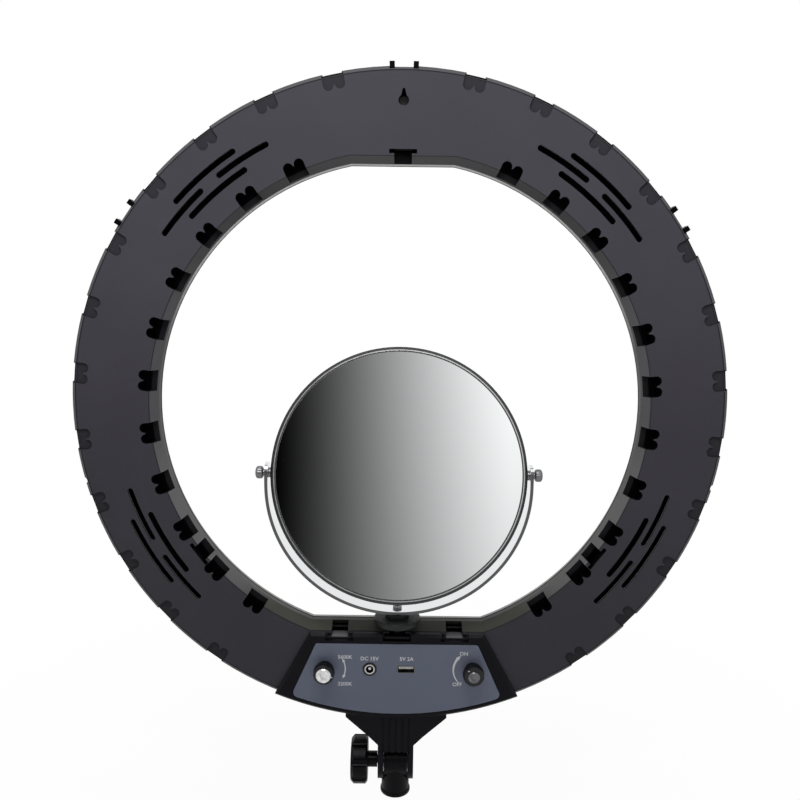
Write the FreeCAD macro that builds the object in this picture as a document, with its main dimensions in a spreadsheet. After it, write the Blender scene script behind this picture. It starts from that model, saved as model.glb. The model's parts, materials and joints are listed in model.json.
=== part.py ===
"""LED ring light with a vanity mirror, as a parametric FreeCAD document.

The row frame has +Z up and its origin at the mouth of the stand socket, on the
socket's axis.  The back of the lamp, with its controls, faces -Y and the light
leaves towards +Y.  All lengths are millimetres and all angles degrees.
"""
import FreeCAD, Part
import Sketcher
import math
import os

Vector = FreeCAD.Vector
Rotation = FreeCAD.Rotation
Placement = FreeCAD.Placement

DRIVING_SIZES = {
    # ring
    "ring_radius": 240.0,
    "ring_width": 56.2,
    "opening_draft": 5.7,
    "lip_depth": 14.0,
    "ring_depth": 26.0,
    "shell_wall": 2.5,
    "edge_chamfer": 2.8,
    "top_flat_inset": 3.8,
    "top_flat_half": 37.0,
    "bottom_flat_inset": 12.4,
    "bottom_flat_half": 66.0,
    "front_bevel": 4.0,
    "fit_gap": 0.15,
    "cutter_reach": 8.0,
    "ledge": 1.2,
    "lip_wall": 2.0,
    "bezel_wall": 2.0,
    "diffuser_inset": 0.8,
    # pockets, slots and lugs of the rear shell
    "pocket_pitch": 12.0,
    "inner_pocket_inset": 1.8,
    "inner_pocket_depth": 9.0,
    "outer_pocket_inset": 6.0,
    "outer_pocket_depth": 1.6,
    "pocket_lobe": 3.6,
    "pocket_spread": 4.1,
    "pocket_reach": 6.0,
    "notch_width": 13.6,
    "notch_bite": 1.6,
    "notch_depth": 6.5,
    "side_notch_angle": 103.5,
    "slot_width": 4.2,
    "slot_inset": 30.8,
    "slot_step": 7.4,
    "slot_half_angle": 7.0,
    "slot_gap_angle": 2.4,
    "slot_run_angle": 13.1,
    "upper_vent_angle": 40.3,
    "lower_vent_angle": 120.7,
    "lug_width": 3.6,
    "lug_height": 2.7,
    "lug_start": 0.6,
    "lug_depth": 7.0,
    "lug_angle": 1.97,
    "lug_pair_angle": 54.75,
    "lug_dip": 1.0,
    "keyhole_radius": 3.7,
    "keyhole_neck": 5.6,
    "keyhole_inset": 23.2,
    "keyhole_rise": 7.2,
    "keyhole_tip": 0.95,
    # light source
    "board_thickness": 1.6,
    "board_stand": 9.0,
    "board_inner_gap": 11.2,
    "board_outer_gap": 8.0,
    "screw_length": 6.0,
    "led_length": 3.5,
    "led_width": 2.8,
    "led_height": 0.8,
    "led_count": 60.0,
    "warm_led_inset": 9.0,
    "white_led_inset": 22.0,
    "diffuser_thickness": 2.0,
    "post_radius": 3.2,
    "post_bore": 1.3,
    "post_inset": 14.0,
    # cold shoes
    "shoe_mouth": 12.4,
    "shoe_width": 19.4,
    "shoe_height": 3.0,
    "shoe_rail": 1.3,
    "shoe_length": 15.0,
    "shoe_mouth_length": 10.9,
    "shoe_wall": 2.6,
    "shoe_plate": 0.6,
    "shoe_spacing": 43.8,
    "shoe_side_angle": 126.6,
    # control housing and panel
    "box_rise": 5.0,
    "box_foot_half": 93.5,
    "box_side_drop": 50.2,
    "box_wall": 2.4,
    "box_edge": 1.8,
    "panel_top_gap": 7.4,
    "panel_side_gap": 4.6,
    "panel_foot_gap": 10.9,
    "panel_low_gap": 14.0,
    "panel_rim_gap": 4.8,
    "panel_corner": 4.2,
    "panel_thickness": 1.4,
    "panel_proud": 0.5,
    "notch_side": 1.0,
    "controls_drop": 27.5,
    "colour_knob_gap": 15.73,
    "dimmer_knob_gap": 12.43,
    "jack_x": -20.5,
    "usb_x": 7.2,
    "knob_radius": 8.2,
    "knob_height": 10.5,
    "knob_foot": 6.6,
    "knob_foot_height": 3.6,
    "knob_shoulder": 1.2,
    "knob_flute": 0.7,
    "knob_flute_count": 28.0,
    "knob_lift": 0.6,
    "knob_cap_radius": 5.6,
    "dimmer_cap_radius": 4.4,
    "knob_cap_height": 1.0,
    "shaft_radius": 3.0,
    "shaft_clear": 0.08,
    "pot_radius": 8.2,
    "pot_depth": 7.0,
    "pot_bush": 3.6,
    "pot_nut": 4.9,
    "pot_nut_height": 1.6,
    "jack_radius": 5.2,
    "jack_bore": 2.75,
    "jack_depth": 9.0,
    "jack_proud": 0.6,
    "jack_pin": 1.05,
    "usb_width": 13.1,
    "usb_height": 5.7,
    "usb_metal": 0.3,
    "usb_depth": 14.0,
    "usb_tongue": 1.8,
    "driver_half": 50.0,
    "driver_height": 28.0,
    "driver_part": 4.4,
    "driver_part_x": 30.0,
    # neck bracket and stand adapter
    "pivot_height": 25.5,
    "pivot_depth": 12.0,
    "neck_length": 44.5,
    "neck_half": 39.0,
    "neck_sink": 8.0,
    "neck_edge": 0.5,
    "neck_shoulder_inset": 17.5,
    "neck_shoulder_drop": 16.2,
    "neck_waist_drop": 23.8,
    "neck_rib_pitch": 5.0,
    "neck_rib_width": 1.6,
    "neck_rib_depth": 1.3,
    "neck_screw": 2.0,
    "neck_screw_x": 24.0,
    "neck_screw_reach": 10.0,
    "neck_screw_seat": 2.0,
    "slot_roof": 14.5,
    "ear_half": 13.9,
    "ear_thickness": 4.3,
    "ear_radius": 14.0,
    "bolt_radius": 3.0,
    "bolt_clear": 0.06,
    "nut_radius": 5.6,
    "nut_height": 2.8,
    "washer_thickness": 0.7,
    "washer_radius": 9.0,
    "tongue_radius": 11.5,
    "tilt_knob_radius": 18.0,
    "tilt_knob_width": 14.0,
    "tilt_hub_length": 7.5,
    "tilt_hub_radius": 6.0,
    "tilt_flute": 3.4,
    "tilt_flute_count": 8.0,
    "socket_wall": 2.8,
    "socket_radius": 8.1,
    "socket_depth": 18.0,
    "socket_rim": 1.6,
    "socket_flange": 0.9,
    "lock_height": 5.4,
    "lock_radius": 2.5,
    "lock_knob_radius": 5.3,
    "lock_knob_width": 9.0,
    "lock_knob_gap": 5.0,
    # vanity mirror on its yoke
    "mirror_depth": 5.0,
    "strap_lift": 14.9,
    "mirror_radius": 95.4,
    "mirror_rim": 3.0,
    "mirror_rim_edge": 1.2,
    "glass_thickness": 3.0,
    "glass_inset": 0.8,
    "glass_dish": 1.6,
    "mirror_tilt": 14.0,
    "yoke_gap": 1.6,
    "yoke_drop": 8.3,
    "mirror_rim_width": 10.0,
    "yoke_width": 16.0,
    "yoke_thickness": 2.4,
    "pivot_pin": 1.9,
    "pivot_pin_clear": 0.06,
    "pivot_neck": 1.6,
    "pivot_knob_radius": 3.3,
    "pivot_knob_length": 5.6,
    "washer_play": 0.5,
    "foot_play": 0.8,
    "foot_thickness": 2.0,
    "foot_lift": 0.1,
    "stem_play": 0.8,
    "spindle_radius": 3.0,
    "wheel_radius": 17.6,
    "wheel_height": 5.0,
    "wheel_edge": 0.8,
    "wheel_clear": 0.1,
    "base_radius": 9.0,
    "base_height": 3.8,
    "yoke_screw_radius": 3.4,
    "yoke_screw_head": 1.6,
    "yoke_screw_slot": 0.9,
}

document = FreeCAD.newDocument("RingLight")
sheet = document.addObject("Spreadsheet::Sheet", "Sizes")
for sheet_row, (size_name, size_value) in enumerate(DRIVING_SIZES.items(), 1):
    sheet.set(f"A{sheet_row}", size_name)
    sheet.set(f"B{sheet_row}", str(size_value))
    sheet.setAlias(f"B{sheet_row}", size_name)
document.recompute()


class Size:
    """A length or angle that keeps the sheet expression it comes from."""

    def __init__(self, value, text):
        self.value = float(value)
        self.text = text

    def __add__(self, other):
        other = as_size(other)
        return Size(self.value + other.value, f"({self.text} + {other.text})")

    def __sub__(self, other):
        other = as_size(other)
        return Size(self.value - other.value, f"({self.text} - {other.text})")

    def __mul__(self, other):
        other = as_size(other)
        return Size(self.value * other.value, f"({self.text} * {other.text})")

    def __truediv__(self, other):
        other = as_size(other)
        return Size(self.value / other.value, f"({self.text} / {other.text})")

    def __radd__(self, other):
        return as_size(other) + self

    def __rsub__(self, other):
        return as_size(other) - self

    def __rmul__(self, other):
        return as_size(other) * self

    def __neg__(self):
        return Size(-self.value, f"(0 - {self.text})")


def as_size(number):
    """Wrap a plain number so that it can stand beside sheet sizes."""
    if isinstance(number, Size):
        return number
    return Size(number, f"({number})")


def cosine(angle):
    """Cosine of an angle in degrees, as a sheet expression."""
    angle = as_size(angle)
    return Size(math.cos(math.radians(angle.value)), f"cos({angle.text})")


def sine(angle):
    """Sine of an angle in degrees, as a sheet expression."""
    angle = as_size(angle)
    return Size(math.sin(math.radians(angle.value)), f"sin({angle.text})")


class SheetSizes:
    """Reads the sheet's cells by their names."""

    def __getattr__(self, name):
        return Size(getattr(sheet, name), f"Sizes.{name}")


S = SheetSizes()


def bind(feature, path, size):
    """Tie one property of a feature to the sheet."""
    feature.setExpression(path, as_size(size).text)


positions = {}
nodes = []


def place(feature, x=0.0, y=0.0, z=0.0, axis=(0, 0, 1), angle=0.0):
    """Put a feature at a point that follows the sheet, turned about one axis."""
    x, y, z = (as_size(number) for number in (x, y, z))
    turn = Rotation(Vector(*axis), as_size(angle).value)
    feature.Placement = Placement(Vector(x.value, y.value, z.value), turn)
    bind(feature, "Placement.Base.x", x)
    bind(feature, "Placement.Base.y", y)
    bind(feature, "Placement.Base.z", z)
    if isinstance(angle, Size):
        bind(feature, "Placement.Rotation.Angle", angle)
    positions[feature.Name] = (x, y, z, axis, angle)
    return feature


def add(kind, label):
    """Add a feature whose name and label agree."""
    feature = document.addObject(kind, label)
    feature.Label = label
    return feature


def block(label, x_span, y_span, z_span):
    """A box between two corners."""
    feature = add("Part::Box", label)
    for name, span in (("Length", x_span), ("Width", y_span), ("Height", z_span)):
        bind(feature, name, as_size(span[1]) - span[0])
    return place(feature, x_span[0], y_span[0], z_span[0])


AXIS_TURNS = {"X": ((0, 1, 0), 90), "Y": ((1, 0, 0), -90), "Z": ((0, 0, 1), 0)}


def rod(label, axis, radius, span, across):
    """A cylinder along X, Y or Z over a span; across holds the two other coordinates."""
    feature = add("Part::Cylinder", label)
    bind(feature, "Radius", radius)
    bind(feature, "Height", as_size(span[1]) - span[0])
    first, second = across
    points = {"X": (span[0], first, second), "Y": (first, span[0], second), "Z": (first, second, span[0])}
    turn_axis, turn = AXIS_TURNS[axis]
    return place(feature, *points[axis], axis=turn_axis, angle=turn)


def hexagon(label, axis, radius, span, across):
    """A six-sided bar along X, Y or Z; radius is measured over its corners."""
    feature = add("Part::Prism", label)
    feature.Polygon = 6
    bind(feature, "Circumradius", radius)
    bind(feature, "Height", as_size(span[1]) - span[0])
    first, second = across
    points = {"X": (span[0], first, second), "Y": (first, span[0], second), "Z": (first, second, span[0])}
    turn_axis, turn = AXIS_TURNS[axis]
    return place(feature, *points[axis], axis=turn_axis, angle=turn)


def fuse(label, *shapes):
    """Join overlapping or touching features."""
    feature = add("Part::MultiFuse", label)
    feature.Shapes = list(shapes)
    return feature


def cut(label, base, *tools):
    """Take one or more tools away from a base."""
    feature = add("Part::Cut", label)
    feature.Base = base
    feature.Tool = tools[0] if len(tools) == 1 else fuse(f"{label}_tools", *tools)
    return feature


def common(label, first, second):
    """Keep what two features share."""
    feature = add("Part::Common", label)
    feature.Base = first
    feature.Tool = second
    return feature


def drawn(label, shapes):
    """A feature made of arc-edged or repeated shapes that no primitive gives."""
    feature = add("Part::Feature", label)
    feature.Shape = Part.makeCompound(shapes)
    return feature


def origin_plane(body, role):
    """One of a body's own origin planes."""
    return next(plane for plane in body.Origin.OriginFeatures if plane.Role == role)


def outline(body, label, plane, corners, offset=0.0):
    """A closed outline with straight sides, each corner tied to the sheet."""
    sketch = body.newObject("Sketcher::SketchObject", label)
    sketch.AttachmentSupport = [(origin_plane(body, plane), "")]
    sketch.MapMode = "FlatFace"
    bind(sketch, "AttachmentOffset.Base.z", offset)
    corners = [(as_size(across), as_size(along)) for across, along in corners]
    points = [Vector(across.value, along.value, 0) for across, along in corners]
    count = len(points)
    for number, point in enumerate(points):
        sketch.addGeometry(Part.LineSegment(point, points[(number + 1) % count]))
    for number in range(count):
        sketch.addConstraint(Sketcher.Constraint("Coincident", number, 2, (number + 1) % count, 1))
    for number, (across, along) in enumerate(corners):
        for kind, size in (("DistanceX", across), ("DistanceY", along)):
            index = sketch.addConstraint(Sketcher.Constraint(kind, -1, 1, number, 1, size.value))
            bind(sketch, f"Constraints[{index}]", size)
    return sketch


def prism(label, plane, corners, span):
    """A straight-sided outline pushed along its plane's normal over a span."""
    body = add("PartDesign::Body", label)
    sketch = outline(body, f"{label}_outline", plane, corners, span[0])
    pad = body.newObject("PartDesign::Pad", f"{label}_pad")
    pad.Profile = sketch
    bind(pad, "Length", as_size(span[1]) - span[0])
    body.Tip = pad
    return body


def plate(label, corners, y_span):
    """An outline in X and Z with a thickness along Y."""
    return prism(label, "XZ_Plane", corners, (-as_size(y_span[1]), -as_size(y_span[0])))


def mirrored(corners):
    """Complete an outline with its reflection in the X = 0 plane."""
    return list(corners) + [(-as_size(across), along) for across, along in reversed(corners)]


def turned(label, corners):
    """A piece of revolution about its own Z axis; corners are (radius, height)."""
    body = add("PartDesign::Body", label)
    sketch = outline(body, f"{label}_profile", "XZ_Plane", corners)
    revolution = body.newObject("PartDesign::Revolution", f"{label}_turn")
    revolution.Profile = sketch
    revolution.ReferenceAxis = (sketch, ["V_Axis"])
    revolution.Angle = 360
    body.Tip = revolution
    return body


def facing(feature, direction, x=0.0, y=0.0, z=0.0):
    """Place a turned piece so that its height runs towards -Y, +Y, -X, +X or +Z."""
    turns = {
        "-Y": ((1, 0, 0), 90), "+Y": ((1, 0, 0), -90), "-X": ((0, 1, 0), -90), "+X": ((0, 1, 0), 90),
        "+Z": ((0, 0, 1), 0)}
    axis, angle = turns[direction]
    return place(feature, x, y, z, axis=axis, angle=angle)


def keep(feature):
    """Count a finished feature as one piece of the lamp."""
    nodes.append(feature)
    return feature


# Sizes that follow from the driving ones

OPENING_RADIUS = S.ring_radius - S.ring_width
TOP_FLAT = OPENING_RADIUS - S.top_flat_inset
BOTTOM_FLAT = OPENING_RADIUS - S.bottom_flat_inset
INNER_POCKETS = OPENING_RADIUS + S.inner_pocket_inset
OUTER_POCKETS = S.ring_radius - S.outer_pocket_inset
VENT_CIRCLE = S.ring_radius - S.slot_inset
KEYHOLE_HEIGHT = S.ring_radius - S.keyhole_inset
BOARD_INNER = OPENING_RADIUS + S.board_inner_gap
BOARD_OUTER = S.ring_radius - S.board_outer_gap
WARM_CIRCLE = BOARD_INNER + S.warm_led_inset
WHITE_CIRCLE = BOARD_INNER + S.white_led_inset
POST_CIRCLE = S.ring_radius - S.post_inset
PANEL_RADIUS = S.ring_radius - S.panel_rim_gap
PANEL_TOP = BOTTOM_FLAT + S.panel_top_gap
PANEL_LOW = S.ring_radius - S.panel_low_gap
PANEL_TOP_HALF = S.bottom_flat_half - S.panel_side_gap
PANEL_LOW_HALF = S.box_foot_half - S.panel_foot_gap
CONTROLS_DROP = BOTTOM_FLAT + S.controls_drop
RING_RISE = S.ring_radius + S.neck_length
GLASS_SEAT = S.mirror_radius - S.mirror_rim
YOKE_RADIUS = S.mirror_radius + S.yoke_gap + S.yoke_thickness
MIRROR_DROP = BOTTOM_FLAT - S.strap_lift - S.yoke_drop - YOKE_RADIUS
PIVOT_WASHER = S.yoke_gap - S.washer_play
EAR_INNER = S.ear_half - S.ear_thickness
TILT_KNOB_START = S.ear_half + S.knob_lift + S.tilt_hub_length
NECK_SHOULDER_HALF = S.neck_half - S.neck_shoulder_inset
FOOT_SIDE = S.shoe_width - S.foot_play
FOOT_STEM = S.shoe_mouth / 2 - S.stem_play
ADAPTER_RADIUS = S.socket_radius + S.socket_wall

RING_HEIGHT = S.pivot_height + RING_RISE
RING_BACK = -S.pivot_depth


def keep_on_ring(feature):
    """Keep a piece drawn about the ring centre, with Y measured from the ring's back face."""
    x, y, z, axis, angle = positions.get(feature.Name, (0.0, 0.0, 0.0, (0, 0, 1), 0.0))
    return keep(place(feature, x, y + RING_BACK, z + RING_HEIGHT, axis=axis, angle=angle))


def ring_block(label, angle, x_span, y_span, reach_span):
    """A box at an angle round the ring; reach_span is measured out from the ring axis."""
    feature = block(label, x_span, y_span, reach_span)
    across, reach = as_size(x_span[0]), as_size(reach_span[0])
    x = across * cosine(angle) + reach * sine(angle)
    z = reach * cosine(angle) - across * sine(angle)
    return place(feature, x, y_span[0], z, axis=(0, 1, 0), angle=as_size(angle))


def ring_point(radius, angle, y=0.0):
    """A point at a radius and a clockwise angle from the top, seen from the back."""
    turn = math.radians(angle)
    return Vector(radius * math.sin(turn), y, radius * math.cos(turn))


def round_ring(solid, angles):
    """Copies of a solid at each angle on both sides of the ring."""
    copies = []
    for angle in angles:
        for side in (-1, 1):
            copy = solid.copy()
            copy.rotate(Vector(0, 0, 0), Vector(0, 1, 0), side * angle)
            copies.append(copy)
    return copies


def ring_pin(radius, reach, y_start, y_end):
    """A round solid along Y at the top of the ring, ready to be copied round it."""
    return Part.makeCylinder(radius, y_end - y_start, ring_point(reach, 0, y_start), Vector(0, 1, 0))


# Rear shell

LIP_RADIUS = OPENING_RADIUS - S.opening_draft
CAVITY_RADIUS = OPENING_RADIUS + S.shell_wall
DIFFUSER_BACK = S.ring_depth - S.diffuser_inset - S.diffuser_thickness
BOARD_BACK = S.shell_wall + S.board_stand
BOARD_FRONT = BOARD_BACK + S.board_thickness
POST_ANGLES = (18.0, 66.0, 102.0, 142.0)
SHOES = {
    "left": (180.0, S.shoe_spacing, BOTTOM_FLAT),
    "centre": (180.0, as_size(0.0), BOTTOM_FLAT),
    "right": (180.0, -S.shoe_spacing, BOTTOM_FLAT),
    "top": (0.0, as_size(0.0), TOP_FLAT),
    "side_left": (-S.shoe_side_angle, as_size(0.0), OPENING_RADIUS),
    "side_right": (S.shoe_side_angle, as_size(0.0), OPENING_RADIUS),
}


def arc_slot(radius, start, end):
    """A vent cutter with round ends that follows a circle about the ring axis."""
    half = S.slot_width.value / 2
    middle = (start + end) / 2
    outer, inner = radius + half, radius - half
    start_tip = ring_point(radius, start - math.degrees(half / radius))
    end_tip = ring_point(radius, end + math.degrees(half / radius))
    edges = [
        Part.Arc(ring_point(outer, start), ring_point(outer, middle), ring_point(outer, end)).toShape(),
        Part.Arc(ring_point(outer, end), end_tip, ring_point(inner, end)).toShape(),
        Part.Arc(ring_point(inner, end), ring_point(inner, middle), ring_point(inner, start)).toShape(),
        Part.Arc(ring_point(inner, start), start_tip, ring_point(outer, start)).toShape(),
    ]
    face = Part.Face(Part.Wire(edges))
    face.translate(Vector(0, -1, 0))
    return face.extrude(Vector(0, S.shell_wall.value + 2, 0))


def vent_cutters():
    """Four groups of four slots, on three circles."""
    radius, step = VENT_CIRCLE.value, S.slot_step.value
    half, gap, run = S.slot_half_angle.value, S.slot_gap_angle.value, S.slot_run_angle.value
    spans = [(radius + step, -half, half), (radius - step, -half, half)]
    spans += [(radius, -run, -gap), (radius, gap, run)]
    cutters = []
    for centre in (S.upper_vent_angle.value, S.lower_vent_angle.value):
        for side in (-1, 1):
            for slot_radius, start, end in spans:
                cutters.append(arc_slot(slot_radius, side * centre + start, side * centre + end))
    return cutters


def lobed_prism(lobe_reach, mouth_reach, grow, y_span):
    """A pocket along Y with two round lobes at one end and a straight mouth at the other."""
    lobe = S.pocket_lobe.value + grow
    spread = S.pocket_spread.value
    low, high = sorted((lobe_reach, mouth_reach))
    depth = y_span[1] - y_span[0]
    half = spread + lobe
    solid = Part.makeBox(2 * half, depth, high - low, Vector(-half, y_span[0], low))
    for across in (-spread, spread):
        start = Vector(across, y_span[0], lobe_reach)
        solid = solid.fuse(Part.makeCylinder(lobe, depth, start, Vector(0, 1, 0)))
    return solid.removeSplitter()


def snap_pocket_shapes():
    """The pockets round both edges, with the liners that close the deep inner ones."""
    liner_wall = S.shell_wall.value * 0.6
    beyond_lip = LIP_RADIUS.value - 3
    beyond_rim = S.ring_radius.value + 3
    lobe_reach = INNER_POCKETS.value + S.pocket_reach.value - S.pocket_lobe.value
    rim_reach = OUTER_POCKETS.value - S.pocket_reach.value + S.pocket_lobe.value
    depth = S.inner_pocket_depth.value
    liner = lobed_prism(lobe_reach, OPENING_RADIUS.value + 0.5, liner_wall, (0.0, depth + liner_wall))
    inner = lobed_prism(lobe_reach, beyond_lip, 0.0, (-1.0, depth))
    outer = lobed_prism(rim_reach, beyond_rim, 0.0, (-1.0, S.outer_pocket_depth.value))
    notch_half = S.notch_width.value / 2
    notch_reach = S.ring_radius.value - S.notch_bite.value
    notch = Part.makeBox(2 * notch_half, S.notch_depth.value + 1, beyond_rim - notch_reach,
                         Vector(-notch_half, -1, notch_reach))
    pitch = S.pocket_pitch.value
    inner_angles = [number * pitch for number in range(2, 13)]
    outer_angles = [number * pitch for number in range(1, 13)]
    cutters = round_ring(inner, inner_angles) + round_ring(outer.fuse(notch), outer_angles)
    return round_ring(liner, inner_angles), cutters


def shoe_cutters(name, angle, x, flat):
    """Cutters of one cold shoe: the mouth between its rails and the channel below them."""
    roof = flat + S.shoe_rail
    floor = roof + S.shoe_height
    mouth = ring_block(f"shoe_{name}_mouth", angle, (x - S.shoe_mouth / 2, x + S.shoe_mouth / 2),
                       (-1.0, S.shoe_mouth_length), (flat - S.cutter_reach, floor))
    channel = ring_block(f"shoe_{name}_channel", angle, (x - S.shoe_width / 2, x + S.shoe_width / 2),
                         (-1.0, S.shoe_length), (roof, floor))
    return [mouth, channel]


def shoe_boss(name, angle, x, flat):
    """The moulded block that carries one cold shoe."""
    half = S.shoe_width / 2 + S.shoe_wall
    base = flat + S.shoe_rail + S.shoe_height + S.shoe_wall
    return ring_block(f"shoe_{name}_boss", angle, (x - half, x + half), (0.0, S.shoe_length + S.shoe_wall),
                      (flat + 1, base))


def rim_lugs():
    """Short posts in pairs on the rim, at the top and at each side, and cutters of the dips between them."""
    half = S.lug_width / 2
    apart = S.ring_radius * sine(S.lug_angle)
    lugs, dips = [], []
    for pair, centre in (("left", -S.lug_pair_angle), ("top", as_size(0.0)), ("right", S.lug_pair_angle)):
        for side in (-1, 1):
            lugs.append(ring_block(f"lug_{pair}_{side + 1}", centre + side * S.lug_angle, (-half, half),
                                   (S.lug_start, S.lug_start + S.lug_depth),
                                   (S.ring_radius - S.shell_wall, S.ring_radius + S.lug_height)))
        dips.append(ring_block(f"lug_{pair}_dip", centre, (-apart, apart), (-1.0, S.lug_start + S.lug_depth),
                               (S.ring_radius - S.lug_dip, S.ring_radius + S.lug_height)))
    return lugs, dips


def side_half(top_half, top, low_half, low, level):
    """Half-width at a level of an outline whose sides run straight through two points."""
    return top_half + (low_half - top_half) * ((as_size(level) - top) / (as_size(low) - top))


def rear_shell():
    """The moulded back: ring tray, flats, cold shoes, snap pockets, vents and lugs."""
    wall = S.shell_wall
    inner_wall = S.ring_radius - wall
    tray = facing(turned("shell_tray", [
        (OPENING_RADIUS, 0), (S.ring_radius - S.edge_chamfer, 0), (S.ring_radius, S.edge_chamfer),
        (S.ring_radius, S.ring_depth), (inner_wall, S.ring_depth), (inner_wall, DIFFUSER_BACK - S.fit_gap),
        (inner_wall - S.ledge, DIFFUSER_BACK - S.fit_gap),
        (inner_wall, DIFFUSER_BACK - S.ledge - S.fit_gap), (inner_wall, wall), (CAVITY_RADIUS, wall),
        (CAVITY_RADIUS, S.lip_depth), (LIP_RADIUS, S.lip_depth)]), "+Y")
    low_half, high_half = S.bottom_flat_half, S.top_flat_half
    seat = block("shell_low_seat", (-low_half, low_half), (-1.0, S.lip_depth + 1),
                 (-CAVITY_RADIUS - 1, -BOTTOM_FLAT + S.cutter_reach))
    lugs, dips = rim_lugs()
    open_tray = cut("shell_open_tray", tray, seat, *dips)
    low_lip = S.opening_draft - BOTTOM_FLAT
    flat_low = prism("shell_flat_low", "YZ_Plane", [
        (0, -BOTTOM_FLAT), (S.lip_depth, low_lip), (S.lip_depth, low_lip - S.lip_wall),
        (wall, -BOTTOM_FLAT - wall), (wall, -CAVITY_RADIUS - 1), (0, -CAVITY_RADIUS - 1)],
        (-low_half, low_half))
    flat_top = prism("shell_flat_top", "YZ_Plane", [
        (0, TOP_FLAT), (S.lip_depth, TOP_FLAT - S.opening_draft), (S.lip_depth, OPENING_RADIUS + 1),
        (0, OPENING_RADIUS + 1)], (-high_half, high_half))
    bosses = [shoe_boss(name, *shoe) for name, shoe in SHOES.items()]
    pocket_liners, pocket_cutters = snap_pocket_shapes()
    stand_top = BOARD_BACK.value
    post = ring_pin(S.post_radius.value, POST_CIRCLE.value, wall.value / 2, stand_top)
    posts = drawn("shell_posts", round_ring(post, POST_ANGLES))
    liners = drawn("pocket_liners", pocket_liners)
    blank = fuse("shell_blank", open_tray, flat_low, flat_top, liners, posts, *bosses, *lugs)

    bore = ring_pin(S.post_bore.value, POST_CIRCLE.value, stand_top - S.screw_length.value, stand_top + 1)
    side_notch = ring_pin(S.slot_width.value / 2, S.ring_radius.value, -1.0, S.notch_depth.value)
    cutters = vent_cutters() + pocket_cutters + round_ring(bore, POST_ANGLES)
    cutters += round_ring(side_notch, [S.side_notch_angle.value])
    fine = cut("shell_fine", blank, drawn("shell_openings", cutters))
    keyhole = rod("keyhole_round", "Y", S.keyhole_radius, (-1.0, wall + 1), (0, KEYHOLE_HEIGHT))
    key_end = KEYHOLE_HEIGHT + S.keyhole_rise
    key_neck = plate("keyhole_neck", mirrored([(S.keyhole_tip, key_end), (S.keyhole_neck / 2, KEYHOLE_HEIGHT)]),
                     (-1.0, wall + 1))
    key_tip = rod("keyhole_end", "Y", S.keyhole_tip, (-1.0, wall + 1), (0, key_end))
    window_top = PANEL_TOP + 2 * S.box_wall
    window_low = PANEL_LOW - 2.5 * S.box_wall
    window = plate("shell_window", mirrored([
        (S.bottom_flat_half - S.box_wall, -window_top), (PANEL_LOW_HALF - 3.5 * S.box_wall, -window_low)]),
        (-1.0, wall + 1))
    channels = []
    for name, shoe in SHOES.items():
        channels += shoe_cutters(name, *shoe)
    hole_span = (-S.ring_radius - 1, -S.ring_radius + 2 * wall + 2)
    screw_holes = [rod(f"shell_screw_hole_{side + 1}", "Z", S.neck_screw + S.fit_gap, hole_span,
                       (side * S.neck_screw_x, S.pivot_depth)) for side in (-1, 1)]
    keep_on_ring(cut("rear_shell", fine, keyhole, key_neck, key_tip, window, *channels, *screw_holes))
    for name, (angle, x, flat) in SHOES.items():
        half = S.shoe_mouth / 2
        floor = flat + S.shoe_rail + S.shoe_height
        keep_on_ring(ring_block(f"shoe_plate_{name}", angle, (x - half, x + half),
                                (0.0, S.shoe_length - S.fit_gap), (floor - S.shoe_plate, floor)))


# Light source and front


def inner_bezel():
    """The sloping black ring that closes the opening between the shell's lip and the diffuser."""
    back = S.lip_depth + S.fit_gap
    wall = S.bezel_wall
    ring = facing(turned("bezel_ring", [
        (LIP_RADIUS, back), (LIP_RADIUS + S.front_bevel, S.ring_depth),
        (LIP_RADIUS + S.front_bevel + wall, S.ring_depth), (LIP_RADIUS + wall, back)]), "+Y")
    low_lip = -(BOTTOM_FLAT - S.opening_draft)
    top_lip = TOP_FLAT - S.opening_draft
    low_half, high_half = S.bottom_flat_half, S.top_flat_half
    span = (S.lip_depth - 1, S.ring_depth + 1)
    low_seat = block("bezel_low_seat", (-low_half, low_half), span, (-OPENING_RADIUS - S.cutter_reach, low_lip))
    top_seat = block("bezel_top_seat", (-high_half, high_half), span, (top_lip, OPENING_RADIUS + S.cutter_reach))
    open_ring = cut("bezel_open_ring", ring, low_seat, top_seat)
    flats = []
    for name, lip, half, out in (("low", low_lip, low_half, -1), ("top", top_lip, high_half, 1)):
        bevel, thickness = out * S.front_bevel, out * wall
        flats.append(prism(f"bezel_flat_{name}", "YZ_Plane", [
            (back, lip), (S.ring_depth, lip + bevel), (S.ring_depth, lip + bevel + thickness),
            (back, lip + thickness)], (-half - 1, half + 1)))
    keep_on_ring(fuse("inner_bezel", open_ring, *flats))


def flat_sided_disc(label, grow, y_span):
    """The opening's outline at the front edge, grown by a margin, as a solid."""
    radius = LIP_RADIUS + grow
    top = TOP_FLAT - S.opening_draft + grow
    low = BOTTOM_FLAT - S.opening_draft + grow
    disc = rod(f"{label}_disc", "Y", radius, y_span, (0, 0))
    return common(label, disc, block(f"{label}_flats", (-radius, radius), y_span, (-low, top)))


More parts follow.
